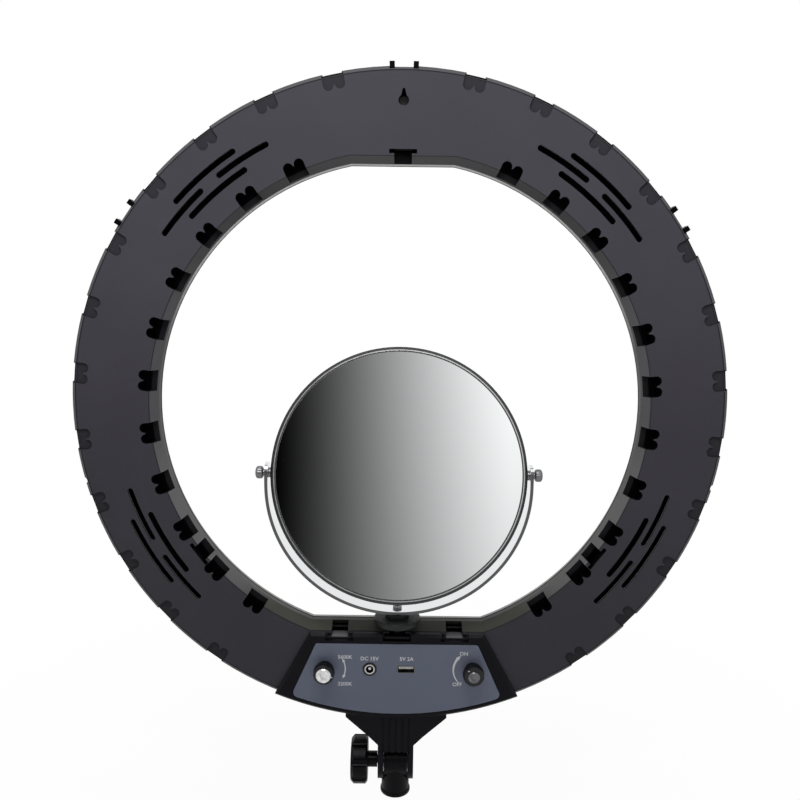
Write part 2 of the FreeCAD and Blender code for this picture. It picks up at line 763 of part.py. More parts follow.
def light_source():
    """The milky diffuser and, behind it, the board with two rings of light-emitting diodes."""
    margin = S.front_bevel + S.bezel_wall + S.fit_gap
    front = DIFFUSER_BACK + S.diffuser_thickness
    disc = rod("diffuser_disc", "Y", S.ring_radius - S.shell_wall - S.fit_gap, (DIFFUSER_BACK, front), (0, 0))
    opening = flat_sided_disc("diffuser_opening", margin, (DIFFUSER_BACK - 1, front + 1))
    keep_on_ring(cut("front_diffuser", disc, opening))
    board_disc = rod("board_disc", "Y", BOARD_OUTER, (BOARD_BACK, BOARD_FRONT), (0, 0))
    board_bore = rod("board_bore", "Y", BOARD_INNER, (BOARD_BACK - 1, BOARD_FRONT + 1), (0, 0))
    reach = POST_CIRCLE.value
    hole = ring_pin(S.post_bore.value + S.fit_gap.value, reach, BOARD_BACK.value - 1, BOARD_FRONT.value + 1)
    holes = drawn("board_holes", round_ring(hole, POST_ANGLES))
    keep_on_ring(cut("led_board", cut("board_ring", board_disc, board_bore), holes))
    front_y = BOARD_FRONT.value
    head = ring_pin(S.post_bore.value * 2, reach, front_y, front_y + S.post_bore.value)
    shank_start = BOARD_BACK.value - S.screw_length.value + S.fit_gap.value
    shank = ring_pin(S.post_bore.value, reach, shank_start, front_y + S.post_bore.value / 2)
    keep_on_ring(drawn("board_screws", round_ring(head.fuse(shank).removeSplitter(), POST_ANGLES)))
    length, width = S.led_length.value, S.led_width.value
    count = round(S.led_count.value)
    angles = [180 * (number + 0.5) * 2 / count for number in range(count // 2)]
    for name, radius in (("warm_leds", WARM_CIRCLE.value), ("white_leds", WHITE_CIRCLE.value)):
        corner = Vector(-length / 2, front_y, radius - width / 2)
        led = Part.makeBox(length, S.led_height.value, width, corner)
        keep_on_ring(drawn(name, round_ring(led, angles)))


# Control housing and panel

PANEL_FACE = -(S.box_rise + S.panel_proud)
PANEL_BACK = PANEL_FACE + S.panel_thickness
HOUSING_INNER = -(S.box_rise - S.box_wall)
CONTROLS_BACK = HOUSING_INNER + S.pot_depth
CONTROLS_Z = -CONTROLS_DROP
CONTROLS_SIDE = side_half(PANEL_TOP_HALF, PANEL_TOP, PANEL_LOW_HALF, PANEL_LOW, CONTROLS_DROP)
COLOUR_X = S.colour_knob_gap - CONTROLS_SIDE
DIMMER_X = CONTROLS_SIDE - S.dimmer_knob_gap


def edges_along_y(feature, y=None):
    """Numbers of a feature's straight edges along Y or, with y given, of its edges at that depth."""
    document.recompute()
    chosen = []
    for number, edge in enumerate(feature.Shape.Edges, 1):
        box = edge.BoundBox
        along = box.YLength > 0.5 and box.XLength + box.ZLength < 0.01
        level = y is not None and abs(box.YMin - y) < 0.01 and box.YLength < 0.01
        if level if y is not None else along:
            chosen.append((number, edge))
    return chosen


def panel_form(label, grow, y_span):
    """The panel's outline: a flat top, sloping sides and a foot that follows the ring's rim."""
    radius = PANEL_RADIUS + grow
    half_low = side_half(PANEL_TOP_HALF, PANEL_TOP, PANEL_LOW_HALF, PANEL_LOW, radius + 1)
    sheet_metal = plate(f"{label}_sheet", mirrored([
        (PANEL_TOP_HALF + grow, -(PANEL_TOP - grow)), (half_low + grow, -radius - 1)]), y_span)
    rim = rod(f"{label}_rim", "Y", radius, y_span, (0, 0))
    square = common(f"{label}_square", sheet_metal, rim)
    rounded = add("Part::Fillet", label)
    rounded.Base = square
    corners = []
    for number, edge in edges_along_y(square):
        low = edge.CenterOfMass.z < -CONTROLS_DROP.value
        corner = S.panel_corner.value if low else S.panel_corner.value / 2
        corners.append((number, corner, corner))
    rounded.Edges = corners
    return rounded


def control_housing():
    """The raised black cover with its notches for the shoes, and the grey panel on it."""
    level = S.ring_radius + 2
    foot = BOTTOM_FLAT + S.box_side_drop
    half_low = side_half(S.bottom_flat_half, BOTTOM_FLAT, S.box_foot_half, foot, level)
    cover = plate("housing_cover", mirrored([(S.bottom_flat_half, -BOTTOM_FLAT), (half_low, -level)]),
                  (-S.box_rise, 0.0))
    rim = rod("housing_rim", "Y", S.ring_radius, (-S.box_rise, 0.0), (0, 0))
    square = common("housing_square", cover, rim)
    bevelled = add("Part::Chamfer", "housing_bevelled")
    bevelled.Base = square
    bevel = S.box_edge.value
    bevelled.Edges = [(number, bevel, bevel) for number, edge in edges_along_y(square, -S.box_rise.value)]
    inner_top = PANEL_TOP + S.box_wall
    inset = 2 * S.box_wall
    room = plate("housing_room", mirrored([
        (S.bottom_flat_half - inset, -inner_top), (S.box_foot_half - 3 * inset, -(PANEL_LOW + S.box_wall))]),
        (HOUSING_INNER, 1.0))
    notches = []
    for name in ("left", "centre", "right"):
        angle, x, flat = SHOES[name]
        half = S.shoe_width / 2 + S.notch_side
        notch_floor = flat + S.shoe_rail + S.shoe_height + S.notch_side
        notches.append(ring_block(f"housing_notch_{name}", angle, (x - half, x + half),
                                  (-S.box_rise - 1, 1.0), (flat - S.cutter_reach, notch_floor)))
    gap = S.fit_gap
    recess = panel_form("housing_recess", gap, (-S.box_rise - 1, PANEL_BACK))
    panel = panel_form("panel_blank", 0.0, (PANEL_FACE, PANEL_BACK))
    keep_on_ring(cut("control_housing", bevelled, room, recess, *notches, *control_holes("housing", gap)))
    keep_on_ring(cut("control_panel", panel, *control_holes("panel", gap)))


def control_holes(owner, gap):
    """Cutters for the two spindles, the power inlet and the USB port."""
    span = (-2 * S.box_rise, 1.0)
    round_holes = (("colour", S.pot_bush, COLOUR_X), ("dimmer", S.pot_bush, DIMMER_X),
                   ("jack", S.jack_radius, S.jack_x))
    holes = [rod(f"{owner}_hole_{name}", "Y", radius + gap, span, (x, CONTROLS_Z))
             for name, radius, x in round_holes]
    half_width, half_height = S.usb_width / 2 + gap, S.usb_height / 2 + gap
    holes.append(block(f"{owner}_hole_usb", (S.usb_x - half_width, S.usb_x + half_width), span,
                       (CONTROLS_Z - half_height, CONTROLS_Z + half_height)))
    return holes


def dial(name, x, cap_radius):
    """A potentiometer with its nut, and the spindle, fluted knob and cap that turn on it."""
    here = (x, CONTROLS_Z)
    bush_end = PANEL_FACE - S.pot_nut_height - 0.8
    can = rod(f"{name}_pot_can", "Y", S.pot_radius, (HOUSING_INNER, CONTROLS_BACK), here)
    bush = rod(f"{name}_pot_bush", "Y", S.pot_bush, (bush_end, HOUSING_INNER), here)
    bore_radius, bore_end = S.shaft_radius + S.shaft_clear, CONTROLS_BACK - 2
    shaft_room = rod(f"{name}_pot_bore", "Y", bore_radius, (bush_end - 1, bore_end), here)
    keep_on_ring(cut(f"{name}_pot", fuse(f"{name}_pot_body", can, bush), shaft_room))
    nut_span = (PANEL_FACE - S.pot_nut_height, PANEL_FACE)
    nut = hexagon(f"{name}_nut_bar", "Y", S.pot_nut, nut_span, here)
    keep_on_ring(cut(f"{name}_nut", nut, rod(f"{name}_nut_bore", "Y", S.pot_bush, (bush_end - 1, 0.0), here)))
    knob_base = PANEL_FACE - S.knob_lift
    knob_top = knob_base - S.knob_height
    keep_on_ring(rod(f"{name}_shaft", "Y", S.shaft_radius, (knob_top + 0.5, bore_end - 0.5), here))
    height, room = S.knob_height, S.pot_nut_height + 1.2
    bore = S.shaft_radius + S.shaft_clear / 2
    foot_height = S.knob_foot_height
    grip = facing(turned(f"{name}_knob_grip", [
        (S.pot_nut + 0.6, 0), (S.knob_foot, 0), (S.knob_foot, foot_height),
        (S.knob_radius, foot_height + S.knob_shoulder), (S.knob_radius - 0.4, height - 1.2),
        (S.knob_radius - 1.2, height), (bore, height), (bore, room), (S.pot_nut + 0.6, room)]),
        "-Y", x, knob_base, CONTROLS_Z)
    flutes = []
    count = round(S.knob_flute_count.value)
    for number in range(count):
        turn = math.tau * number / count
        centre = Vector(x.value + S.knob_radius.value * math.cos(turn), knob_top.value - 1,
                        CONTROLS_Z.value + S.knob_radius.value * math.sin(turn))
        flutes.append(Part.makeCylinder(S.knob_flute.value, height.value + 1 - foot_height.value, centre,
                                        Vector(0, 1, 0)))
    keep_on_ring(cut(f"{name}_knob", grip, drawn(f"{name}_flutes", flutes)))
    cap, edge = S.knob_cap_height, S.knob_cap_height / 2
    keep_on_ring(facing(turned(f"{name}_cap", [
        (0, 0), (cap_radius, 0), (cap_radius, cap - edge), (cap_radius - edge, cap), (0, cap)]),
        "-Y", x, knob_top, CONTROLS_Z))


def sockets():
    """The power inlet and the USB port, each a shell with its contact."""
    here = (S.jack_x, CONTROLS_Z)
    front = PANEL_FACE - S.jack_proud
    barrel = rod("jack_barrel", "Y", S.jack_radius, (front, CONTROLS_BACK), here)
    floor = front + S.jack_depth
    keep_on_ring(cut("dc_jack", barrel, rod("jack_bore_cut", "Y", S.jack_bore, (front - 1, floor), here)))
    keep_on_ring(rod("dc_pin", "Y", S.jack_pin, (front + 1.2, floor), here))
    metal, half_width, half_height = S.usb_metal, S.usb_width / 2, S.usb_height / 2
    port_front = PANEL_FACE - S.jack_proud / 2
    port_end = port_front + S.usb_depth + 2 * metal
    shell = block("usb_box", (S.usb_x - half_width, S.usb_x + half_width), (port_front, port_end),
                  (CONTROLS_Z - half_height, CONTROLS_Z + half_height))
    room = block("usb_room", (S.usb_x - half_width + metal, S.usb_x + half_width - metal),
                 (port_front - 1, port_front + S.usb_depth),
                 (CONTROLS_Z - half_height + metal, CONTROLS_Z + half_height - metal))
    keep_on_ring(cut("usb_port", shell, room))
    tongue_half = half_width - 3 * metal
    tongue_top = CONTROLS_Z + half_height - 2 * metal
    tongue_span = (port_front + metal, port_front + S.usb_depth)
    keep_on_ring(block("usb_tongue", (S.usb_x - tongue_half, S.usb_x + tongue_half), tongue_span,
                       (tongue_top - S.usb_tongue, tongue_top)))


def driver_board():
    """The circuit board behind the controls, with its tall parts towards the light source."""
    board_front = CONTROLS_BACK + S.board_thickness
    half = S.driver_half
    sheet_board = block("driver_sheet", (-half, half), (CONTROLS_BACK, board_front),
                        (CONTROLS_Z - S.driver_height / 2, CONTROLS_Z + S.driver_height / 2))
    port_half, port_rise = S.usb_width / 2 + S.fit_gap, S.usb_height / 2 + S.fit_gap
    port_room = block("driver_port_room", (S.usb_x - port_half, S.usb_x + port_half),
                      (CONTROLS_BACK - 1, board_front + 1), (CONTROLS_Z - port_rise, CONTROLS_Z + port_rise))
    keep_on_ring(cut("driver_board", sheet_board, port_room))
    part_end = BOARD_BACK - 0.5
    coil = rod("driver_coil", "Y", S.driver_part, (board_front, part_end), (S.driver_part_x, CONTROLS_Z))
    cans = [rod(f"driver_can_{side + 1}", "Y", S.driver_part * 0.8, (board_front, part_end),
                (S.driver_part_x + side * 2.6 * S.driver_part, CONTROLS_Z)) for side in (-1, 1)]
    keep_on_ring(fuse("driver_parts", coil, *cans))


# Neck bracket, tilt clamp and stand adapter


def neck_bracket():
    """The flared, ribbed bracket under the ring, ending in two ears round the tilt pivot."""
    pivot_z = -RING_RISE
    back, front = S.pivot_depth - S.ear_radius, S.pivot_depth + S.ear_radius
    here = (S.pivot_depth, pivot_z)
    neck_top = S.neck_sink - S.ring_radius
    flare = plate("neck_flare", mirrored([
        (S.neck_half, neck_top), (S.neck_half, -S.ring_radius - S.neck_edge),
        (NECK_SHOULDER_HALF, -S.ring_radius - S.neck_shoulder_drop),
        (S.ear_half, -S.ring_radius - S.neck_waist_drop), (S.ear_half, pivot_z - S.ear_radius)]),
        (back, front))
    ear_round = rod("neck_ear_round", "X", S.ear_radius, (-S.ear_half, S.ear_half), here)
    above = block("neck_above", (-S.neck_half, S.neck_half), (back, front), (pivot_z, neck_top))
    form = common("neck_form", flare, fuse("neck_side", ear_round, above))
    rim = rod("neck_rim", "Y", S.ring_radius + S.fit_gap, (back - 1, front + 1), (0, 0))
    inner = EAR_INNER
    slot = block("neck_slot", (-inner, inner), (back - 1, front + 1),
                 (pivot_z - S.ear_radius - 1, pivot_z + S.slot_roof))
    bore = rod("neck_bore", "X", S.bolt_radius + S.bolt_clear, (-S.ear_half - 1, S.ear_half + 1), here)
    nut_seat = hexagon("neck_nut_seat", "X", S.nut_radius + S.fit_gap,
                       (S.ear_half - S.nut_height, S.ear_half + 1), here)
    ribs = []
    rib_top = -S.ring_radius - S.neck_edge
    for number in range(-2, 3):
        x = number * S.neck_rib_pitch
        ribs.append(block(f"neck_groove_{number + 2}", (x - S.neck_rib_width / 2, x + S.neck_rib_width / 2),
                          (back - 1, back + S.neck_rib_depth), (pivot_z + S.ear_radius, rib_top)))
    screw_end = -S.ring_radius - S.neck_screw_reach
    screw_bores = [rod(f"neck_screw_bore_{side + 1}", "Z", S.neck_screw, (screw_end, 0),
                       (side * S.neck_screw_x, S.pivot_depth)) for side in (-1, 1)]
    keep_on_ring(cut("neck_bracket", form, rim, slot, bore, nut_seat, *ribs, *screw_bores))
    seat = S.ring_radius - S.shell_wall - S.neck_screw_seat
    screws = []
    for side in (-1, 1):
        above = (side * S.neck_screw_x, S.pivot_depth)
        head_span = (-seat, S.neck_screw - seat)
        screws.append(rod(f"neck_screw_head_{side + 1}", "Z", 1.8 * S.neck_screw, head_span, above))
        screws.append(rod(f"neck_screw_shank_{side + 1}", "Z", S.neck_screw, (screw_end, -seat), above))
    keep_on_ring(fuse("neck_screws", *screws))
    nut = hexagon("tilt_nut_bar", "X", S.nut_radius, (S.ear_half - S.nut_height, S.ear_half), here)
    nut_bore = rod("tilt_nut_bore", "X", S.bolt_radius + S.bolt_clear, (0, S.ear_half + 1), here)
    keep_on_ring(cut("tilt_nut", nut, nut_bore))


def tilt_clamp():
    """The bolt through the ears and the large lobed knob on its left end."""
    here = (0, S.pivot_height)
    keep(rod("tilt_bolt", "X", S.bolt_radius, (-TILT_KNOB_START - 4, S.ear_half - 0.5), here))
    radius, width = S.tilt_knob_radius, S.tilt_knob_width
    hub_start = TILT_KNOB_START - S.ear_half - S.knob_lift
    grip = facing(turned("tilt_grip", [
        (S.bolt_radius, -hub_start), (S.tilt_hub_radius, -hub_start), (S.tilt_hub_radius, 0),
        (radius - 2, 0), (radius, 1.6), (radius, width - 3.2), (radius - 2.4, width - 0.8), (0, width),
        (0, 4), (S.bolt_radius, 4)]), "-X", -TILT_KNOB_START, 0, S.pivot_height)
    count = round(S.tilt_flute_count.value)
    reach = radius.value + S.tilt_flute.value * 0.45
    flutes = []
    for number in range(count):
        turn = math.tau * (number + 0.5) / count
        start = Vector(-TILT_KNOB_START.value - width.value - 1, reach * math.cos(turn),
                       S.pivot_height.value + reach * math.sin(turn))
        flutes.append(Part.makeCylinder(S.tilt_flute.value, width.value + 2, start, Vector(1, 0, 0)))
    keep(cut("tilt_knob", grip, drawn("tilt_flutes", flutes)))


def stand_adapter():
    """The socket for the stand's spigot, with the tongue that carries the lamp and its lock screw."""
    tongue_half = EAR_INNER - S.washer_thickness - 2 * S.fit_gap
    radius, neck_top = ADAPTER_RADIUS, S.pivot_height - S.ear_radius - 2 * S.fit_gap
    barrel = turned("adapter_barrel", [
        (0, 0), (radius + S.socket_flange, 0), (radius + S.socket_flange, S.socket_rim),
        (radius, 2 * S.socket_rim), (radius, neck_top), (0, neck_top)])
    waist_span = (neck_top - 1, S.pivot_height)
    waist = common("adapter_waist", rod("adapter_post", "Z", radius, waist_span, (0, 0)),
                   block("adapter_sides", (-tongue_half, tongue_half), (-radius, radius), waist_span))
    head = rod("adapter_head", "X", S.tongue_radius, (-tongue_half, tongue_half), (0, S.pivot_height))
    body = fuse("adapter_body", barrel, waist, head)
    socket = rod("adapter_socket", "Z", S.socket_radius, (-1, S.socket_depth), (0, 0))
    bolt_room, across = S.bolt_radius + S.bolt_clear, (-S.ear_half, S.ear_half)
    bore = rod("adapter_bore", "X", bolt_room, across, (0, S.pivot_height))
    lock_room = S.lock_radius + S.bolt_clear
    lock_bore = rod("adapter_lock_bore", "Y", lock_room, (0, 2 * radius), (0, S.lock_height))
    keep(cut("stand_adapter", body, socket, bore, lock_bore))
    sides = []
    for side, start in (("left", -tongue_half - S.washer_thickness), ("right", tongue_half)):
        span = (start, start + S.washer_thickness)
        sides.append(rod(f"washer_{side}_disc", "X", S.washer_radius, span, (0, S.pivot_height)))
    washer_bore = rod("washer_bore", "X", bolt_room, across, (0, S.pivot_height))
    keep(cut("friction_washers", fuse("washer_discs", *sides), washer_bore))
    here = (0, S.lock_height)
    knob_start = radius + S.lock_knob_gap
    keep(rod("lock_screw", "Y", S.lock_radius, (S.socket_radius + S.fit_gap, knob_start + 3), here))
    knob, width = S.lock_knob_radius, S.lock_knob_width
    grip = facing(turned("lock_grip", [
        (S.lock_radius, 0), (knob - 0.8, 0), (knob, 0.8), (knob, width - 1.4), (knob - 1.4, width),
        (0, width), (0, 3), (S.lock_radius, 3)]), "+Y", 0, knob_start, S.lock_height)
    count = round(S.knob_flute_count.value)
    flutes = []
    for number in range(count):
        turn = math.tau * number / count
        start = Vector(knob.value * math.cos(turn), knob_start.value - 1,
                       S.lock_height.value + knob.value * math.sin(turn))
        flutes.append(Part.makeCylinder(S.knob_flute.value * 0.8, width.value + 2, start, Vector(0, 1, 0)))
    keep(cut("lock_knob", grip, drawn("lock_flutes", flutes)))


# Vanity mirror

SHOE_FLOOR = BOTTOM_FLAT + S.shoe_rail + S.shoe_height
FOOT_BOTTOM = -SHOE_FLOOR + S.shoe_plate + S.foot_lift
FOOT_TOP = FOOT_BOTTOM + S.foot_thickness
STRAP_BOTTOM = -MIRROR_DROP - S.yoke_drop - YOKE_RADIUS
STRAP_FLOOR = STRAP_BOTTOM + S.yoke_thickness
BASE_BOTTOM = STRAP_BOTTOM - S.base_height
WHEEL_TOP = BASE_BOTTOM - S.wheel_clear
WHEEL_BOTTOM = WHEEL_TOP - S.wheel_height
MIRROR_AXIS = (S.mirror_depth, -MIRROR_DROP)


def mirror_stand():
    """The shoe foot with its spindle, the lock wheel, the swivel base and the U-shaped yoke."""
    depth = S.mirror_depth
    side = FOOT_SIDE / 2
    foot = block("foot_plate", (-side, side), (depth - side, depth + side), (FOOT_BOTTOM, FOOT_TOP))
    collar = rod("foot_collar", "Z", FOOT_STEM, (FOOT_TOP, WHEEL_BOTTOM - S.wheel_clear), (0, depth))
    spindle_top = BASE_BOTTOM + S.base_height / 2
    spindle = rod("foot_spindle", "Z", S.spindle_radius, (FOOT_TOP, spindle_top), (0, depth))
    keep_on_ring(fuse("mirror_foot", foot, collar, spindle))
    bore = S.spindle_radius + S.pivot_pin_clear
    radius, height, edge = S.wheel_radius, S.wheel_height, S.wheel_edge
    keep_on_ring(facing(turned("lock_wheel", [
        (bore, 0), (radius - 1.5 * edge, 0), (radius, 1.5 * edge), (radius, height - edge),
        (radius - edge, height), (bore, height)]), "+Z", 0, depth, WHEEL_BOTTOM))
    base = rod("base_disc", "Z", S.base_radius, (BASE_BOTTOM, STRAP_BOTTOM), (0, depth))
    spindle_room = rod("base_bore", "Z", bore, (BASE_BOTTOM - 1, spindle_top + S.wheel_clear), (0, depth))
    shank = S.yoke_screw_radius / 2
    shank_room = rod("base_screw_bore", "Z", shank, (spindle_top, STRAP_FLOOR), (0, depth))
    keep_on_ring(cut("mirror_base", base, spindle_room, shank_room))
    seat = STRAP_FLOOR + S.wheel_clear
    head = rod("screw_head", "Z", S.yoke_screw_radius, (seat, seat + S.yoke_screw_head), (0, depth))
    pin = rod("screw_shank", "Z", shank, (spindle_top + 2 * S.wheel_clear, seat), (0, depth))
    screw = fuse("screw_body", head, pin)
    slot_half, reach = S.yoke_screw_slot / 2, S.yoke_screw_radius * 0.6
    slot_span = (seat + S.yoke_screw_head / 2, seat + S.yoke_screw_head + 1)
    along = block("screw_slot_x", (-reach, reach), (depth - slot_half, depth + slot_half), slot_span)
    across = block("screw_slot_y", (-slot_half, slot_half), (depth - reach, depth + reach), slot_span)
    keep_on_ring(cut("yoke_screw", screw, along, across))


def mirror_yoke():
    """The bent flat bar: half a circle, two short arms and round tips at the pivots."""
    outer, inner = YOKE_RADIUS, YOKE_RADIUS - S.yoke_thickness
    depth, half = S.mirror_depth, S.yoke_width / 2
    span = (depth - half, depth + half)
    bend_z = -MIRROR_DROP - S.yoke_drop
    hoop = cut("yoke_hoop", rod("yoke_outer", "Y", outer, span, (0, bend_z)),
               rod("yoke_inner", "Y", inner, (depth - half - 1, depth + half + 1), (0, bend_z)))
    lower = block("yoke_lower", (-outer - 1, outer + 1), (depth - half - 1, depth + half + 1),
                  (bend_z - outer - 1, bend_z))
    bar = [common("yoke_bend", hoop, lower)]
    for name, start, end in (("left", -outer, -inner), ("right", inner, outer)):
        bar.append(block(f"yoke_arm_{name}", (start, end), span, (bend_z, -MIRROR_DROP)))
        bar.append(rod(f"yoke_tip_{name}", "X", half, (start, end), MIRROR_AXIS))
    pins = rod("yoke_pin_bore", "X", S.pivot_pin + S.pivot_pin_clear, (-outer - 1, outer + 1), MIRROR_AXIS)
    screw_room = S.yoke_screw_radius / 2 + S.fit_gap
    screw_hole = rod("yoke_screw_bore", "Z", screw_room, (STRAP_BOTTOM - 1, STRAP_FLOOR + 1), (0, depth))
    keep_on_ring(cut("mirror_yoke", fuse("yoke_bar", *bar), pins, screw_hole))


def tilted(feature, own_turn=0.0):
    """Keep a mirror piece, its top leaning towards the lamp's front about the yoke's pivots."""
    depth, z = MIRROR_AXIS
    lean = own_turn - S.mirror_tilt
    return keep(place(feature, 0, RING_BACK + depth, RING_HEIGHT + z, axis=(1, 0, 0), angle=lean))


def vanity_mirror():
    """The chromed rim with a glass on each face, and the pins it turns on."""
    half, edge = S.mirror_rim_width / 2, S.mirror_rim_edge
    rim = facing(turned("mirror_rim", [
        (GLASS_SEAT, -half), (S.mirror_radius - edge, -half), (S.mirror_radius, -half + edge),
        (S.mirror_radius, half - edge), (S.mirror_radius - edge, half), (GLASS_SEAT, half)]), "+Y")
    pin_room = rod("rim_pin_bore", "X", S.pivot_pin, (-S.mirror_radius - 1, S.mirror_radius + 1), (0, 0))
    tilted(cut("mirror_frame", rim, pin_room))
    near = half - S.glass_inset - S.glass_thickness
    far = half - S.glass_inset
    disc = GLASS_SEAT - S.fit_gap
    tilted(turned("mirror_core", [(0, -near), (disc, -near), (disc, near), (0, near)]), -90)
    tilted(turned("mirror_glass_plain", [(0, -far), (disc, -far), (disc, -near), (0, -near)]), -90)
    blank = rod("magnifying_blank", "Y", disc, (near, far), (0, 0))
    dish_radius = (disc * disc + S.glass_dish * S.glass_dish) / (2 * S.glass_dish)
    ball = add("Part::Sphere", "magnifying_dish")
    bind(ball, "Radius", dish_radius)
    place(ball, 0, far - S.glass_dish + dish_radius, 0)
    tilted(cut("mirror_glass_magnifying", blank, ball))
    pin, neck_end = S.pivot_pin, YOKE_RADIUS + S.fit_gap
    head, length = S.pivot_knob_radius, S.pivot_knob_length
    for side, direction in (("left", "-X"), ("right", "+X")):
        start = GLASS_SEAT + S.fit_gap
        tip = neck_end + S.pivot_neck + length
        ball_start = neck_end + S.pivot_neck
        piece = turned(f"pivot_knob_{side}", [
            (0, start), (pin, start), (pin, neck_end), (pin + 0.7, neck_end), (pin + 0.7, ball_start),
            (head - 0.9, ball_start), (head, ball_start + 0.9), (head, tip - 1.8), (head - 0.7, tip - 0.7),
            (head - 1.8, tip), (0, tip)])
        keep_on_ring(facing(piece, direction, 0, *MIRROR_AXIS))
    washer_start = S.mirror_radius + S.fit_gap
    rings = []
    for side, start in (("left", -washer_start - PIVOT_WASHER), ("right", washer_start)):
        rings.append(rod(f"pivot_washer_{side}", "X", 2 * pin, (start, start + PIVOT_WASHER), MIRROR_AXIS))
    washer_span = (-YOKE_RADIUS, YOKE_RADIUS)
    washer_bore = rod("pivot_washer_bore", "X", pin + S.pivot_pin_clear, washer_span, MIRROR_AXIS)
    keep_on_ring(cut("pivot_washers", fuse("pivot_washer_pair", *rings), washer_bore))


def write_parts():
    """Check every feature, then write each piece to its own STEP file."""
    document.recompute()
    for feature in document.Objects:
        if "Invalid" in feature.State or "Error" in feature.State:
            raise RuntimeError(f"{feature.Label} did not build: {feature.State}")
    os.makedirs("parts", exist_ok=True)
    for feature in nodes:
        shape = feature.Shape
        if shape.isNull() or not shape.isValid() or shape.Volume <= 0:
            raise RuntimeError(f"{feature.Label} has no valid shape")
        shape.exportStep(f"parts/{feature.Label}.step")
    print(f"{len(nodes)} parts written")


rear_shell()
inner_bezel()
light_source()
control_housing()
dial("colour", COLOUR_X, S.knob_cap_radius)
dial("dimmer", DIMMER_X, S.dimmer_cap_radius)
sockets()
driver_board()
neck_bracket()
tilt_clamp()
stand_adapter()
mirror_stand()
mirror_yoke()
vanity_mirror()
write_parts()
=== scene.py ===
"""LED ring light with a vanity mirror: finishes, printed marks, studio and camera.

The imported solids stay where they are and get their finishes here.  The pieces
that are added lie on them: the printed scales of the two controls, the labels
of the two sockets, the pointers of the two knobs and the fluted grips round the
heads of the mirror's pivot knobs.  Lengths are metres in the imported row's
frame, with the back of the lamp towards -Y.
"""
from __future__ import annotations

import json
import logging
import math
from dataclasses import dataclass, field, replace
from enum import Enum

import bpy
import numpy as np
from mathutils import Matrix, Vector

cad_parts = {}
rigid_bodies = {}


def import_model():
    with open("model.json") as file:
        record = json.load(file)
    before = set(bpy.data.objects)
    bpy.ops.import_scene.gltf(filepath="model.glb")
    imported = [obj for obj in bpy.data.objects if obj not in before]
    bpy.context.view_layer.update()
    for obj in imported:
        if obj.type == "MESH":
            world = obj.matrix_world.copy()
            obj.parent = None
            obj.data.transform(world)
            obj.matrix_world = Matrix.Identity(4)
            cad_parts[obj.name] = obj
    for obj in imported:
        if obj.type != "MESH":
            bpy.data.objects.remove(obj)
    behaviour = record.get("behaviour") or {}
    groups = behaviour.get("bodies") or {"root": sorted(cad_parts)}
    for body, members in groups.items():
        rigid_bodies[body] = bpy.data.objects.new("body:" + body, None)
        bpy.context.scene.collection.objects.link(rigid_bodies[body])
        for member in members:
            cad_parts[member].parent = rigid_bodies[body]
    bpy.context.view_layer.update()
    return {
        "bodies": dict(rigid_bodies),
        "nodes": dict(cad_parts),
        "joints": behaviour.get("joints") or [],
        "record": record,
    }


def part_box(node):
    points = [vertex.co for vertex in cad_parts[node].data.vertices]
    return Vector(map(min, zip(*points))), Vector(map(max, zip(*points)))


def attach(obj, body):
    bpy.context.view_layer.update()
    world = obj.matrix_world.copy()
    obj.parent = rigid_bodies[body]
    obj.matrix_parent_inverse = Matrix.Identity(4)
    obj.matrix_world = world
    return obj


LOG = logging.getLogger("ring_light")
MM = 0.001
DISPLAY_GAMMA = 2.2
Triple = tuple[float, float, float]
Colour = Triple
Socket = bpy.types.NodeSocket


# ---------------------------------------------------------------- finishes


class Grain(Enum):
    """How the surface of a finish breaks up at close range."""

    SPARKED = "pitted by a spark-eroded mould"
    POWDER = "orange peel of a baked powder coat"
    POLISHED = "smooth, with a few faint smears"
    TURNED = "rings left by a lathe tool"
    BRUSHED = "lines along one axis"
    PRINTED = "ink with a ragged thickness"


class Measure(Enum):
    """What a limit of a zone is measured by."""

    REACH = "distance from the zone's centre, across its Y"
    STRAP = "the same below the centre, and the distance sideways above it"
    DEPTH = "place along Y"
    HEIGHT = "height above the zone's centre"
    FACING = "how far the face looks to +Y, from -1 to 1"
    OUTWARD = "how far the face looks away from the centre, from -1 to 1"


@dataclass(frozen=True)
class Limit:
    """A span of one measure, with soft ends.

    Attributes:
        measure: what is measured.
        low: where the span starts.
        high: where it ends.
        soft: the width of its soft ends.
    """

    measure: Measure
    low: float
    high: float
    soft: float


def span(measure: Measure, low: float, high: float, soft: float = 0.15) -> Limit:
    """A limit of a distance, given in millimetres."""
    return Limit(measure, low * MM, high * MM, soft * MM)


def turned(measure: Measure, low: float, high: float, soft: float = 0.06) -> Limit:
    """A limit of how a face is turned, from -1 to 1."""
    return Limit(measure, low, high, soft)


@dataclass(frozen=True)
class Zone:
    """A part of a finish with its own colour and gloss, inside all of its limits.

    Attributes:
        colour: linear red, green and blue.
        roughness: the zone's roughness.
        limits: the spans that the surface must lie in.
        centre: the point that distances are measured from.
        lean: turn of the zone's own axes about X, in degrees.
        metallic: 1 for bare metal, and for a black that mirrors nothing.
    """

    colour: Colour
    roughness: float
    limits: tuple[Limit, ...]
    centre: Triple = (0.0, 0.0, 310.0 * MM)  # the middle of the ring
    lean: float = 0.0
    metallic: float = 0.0


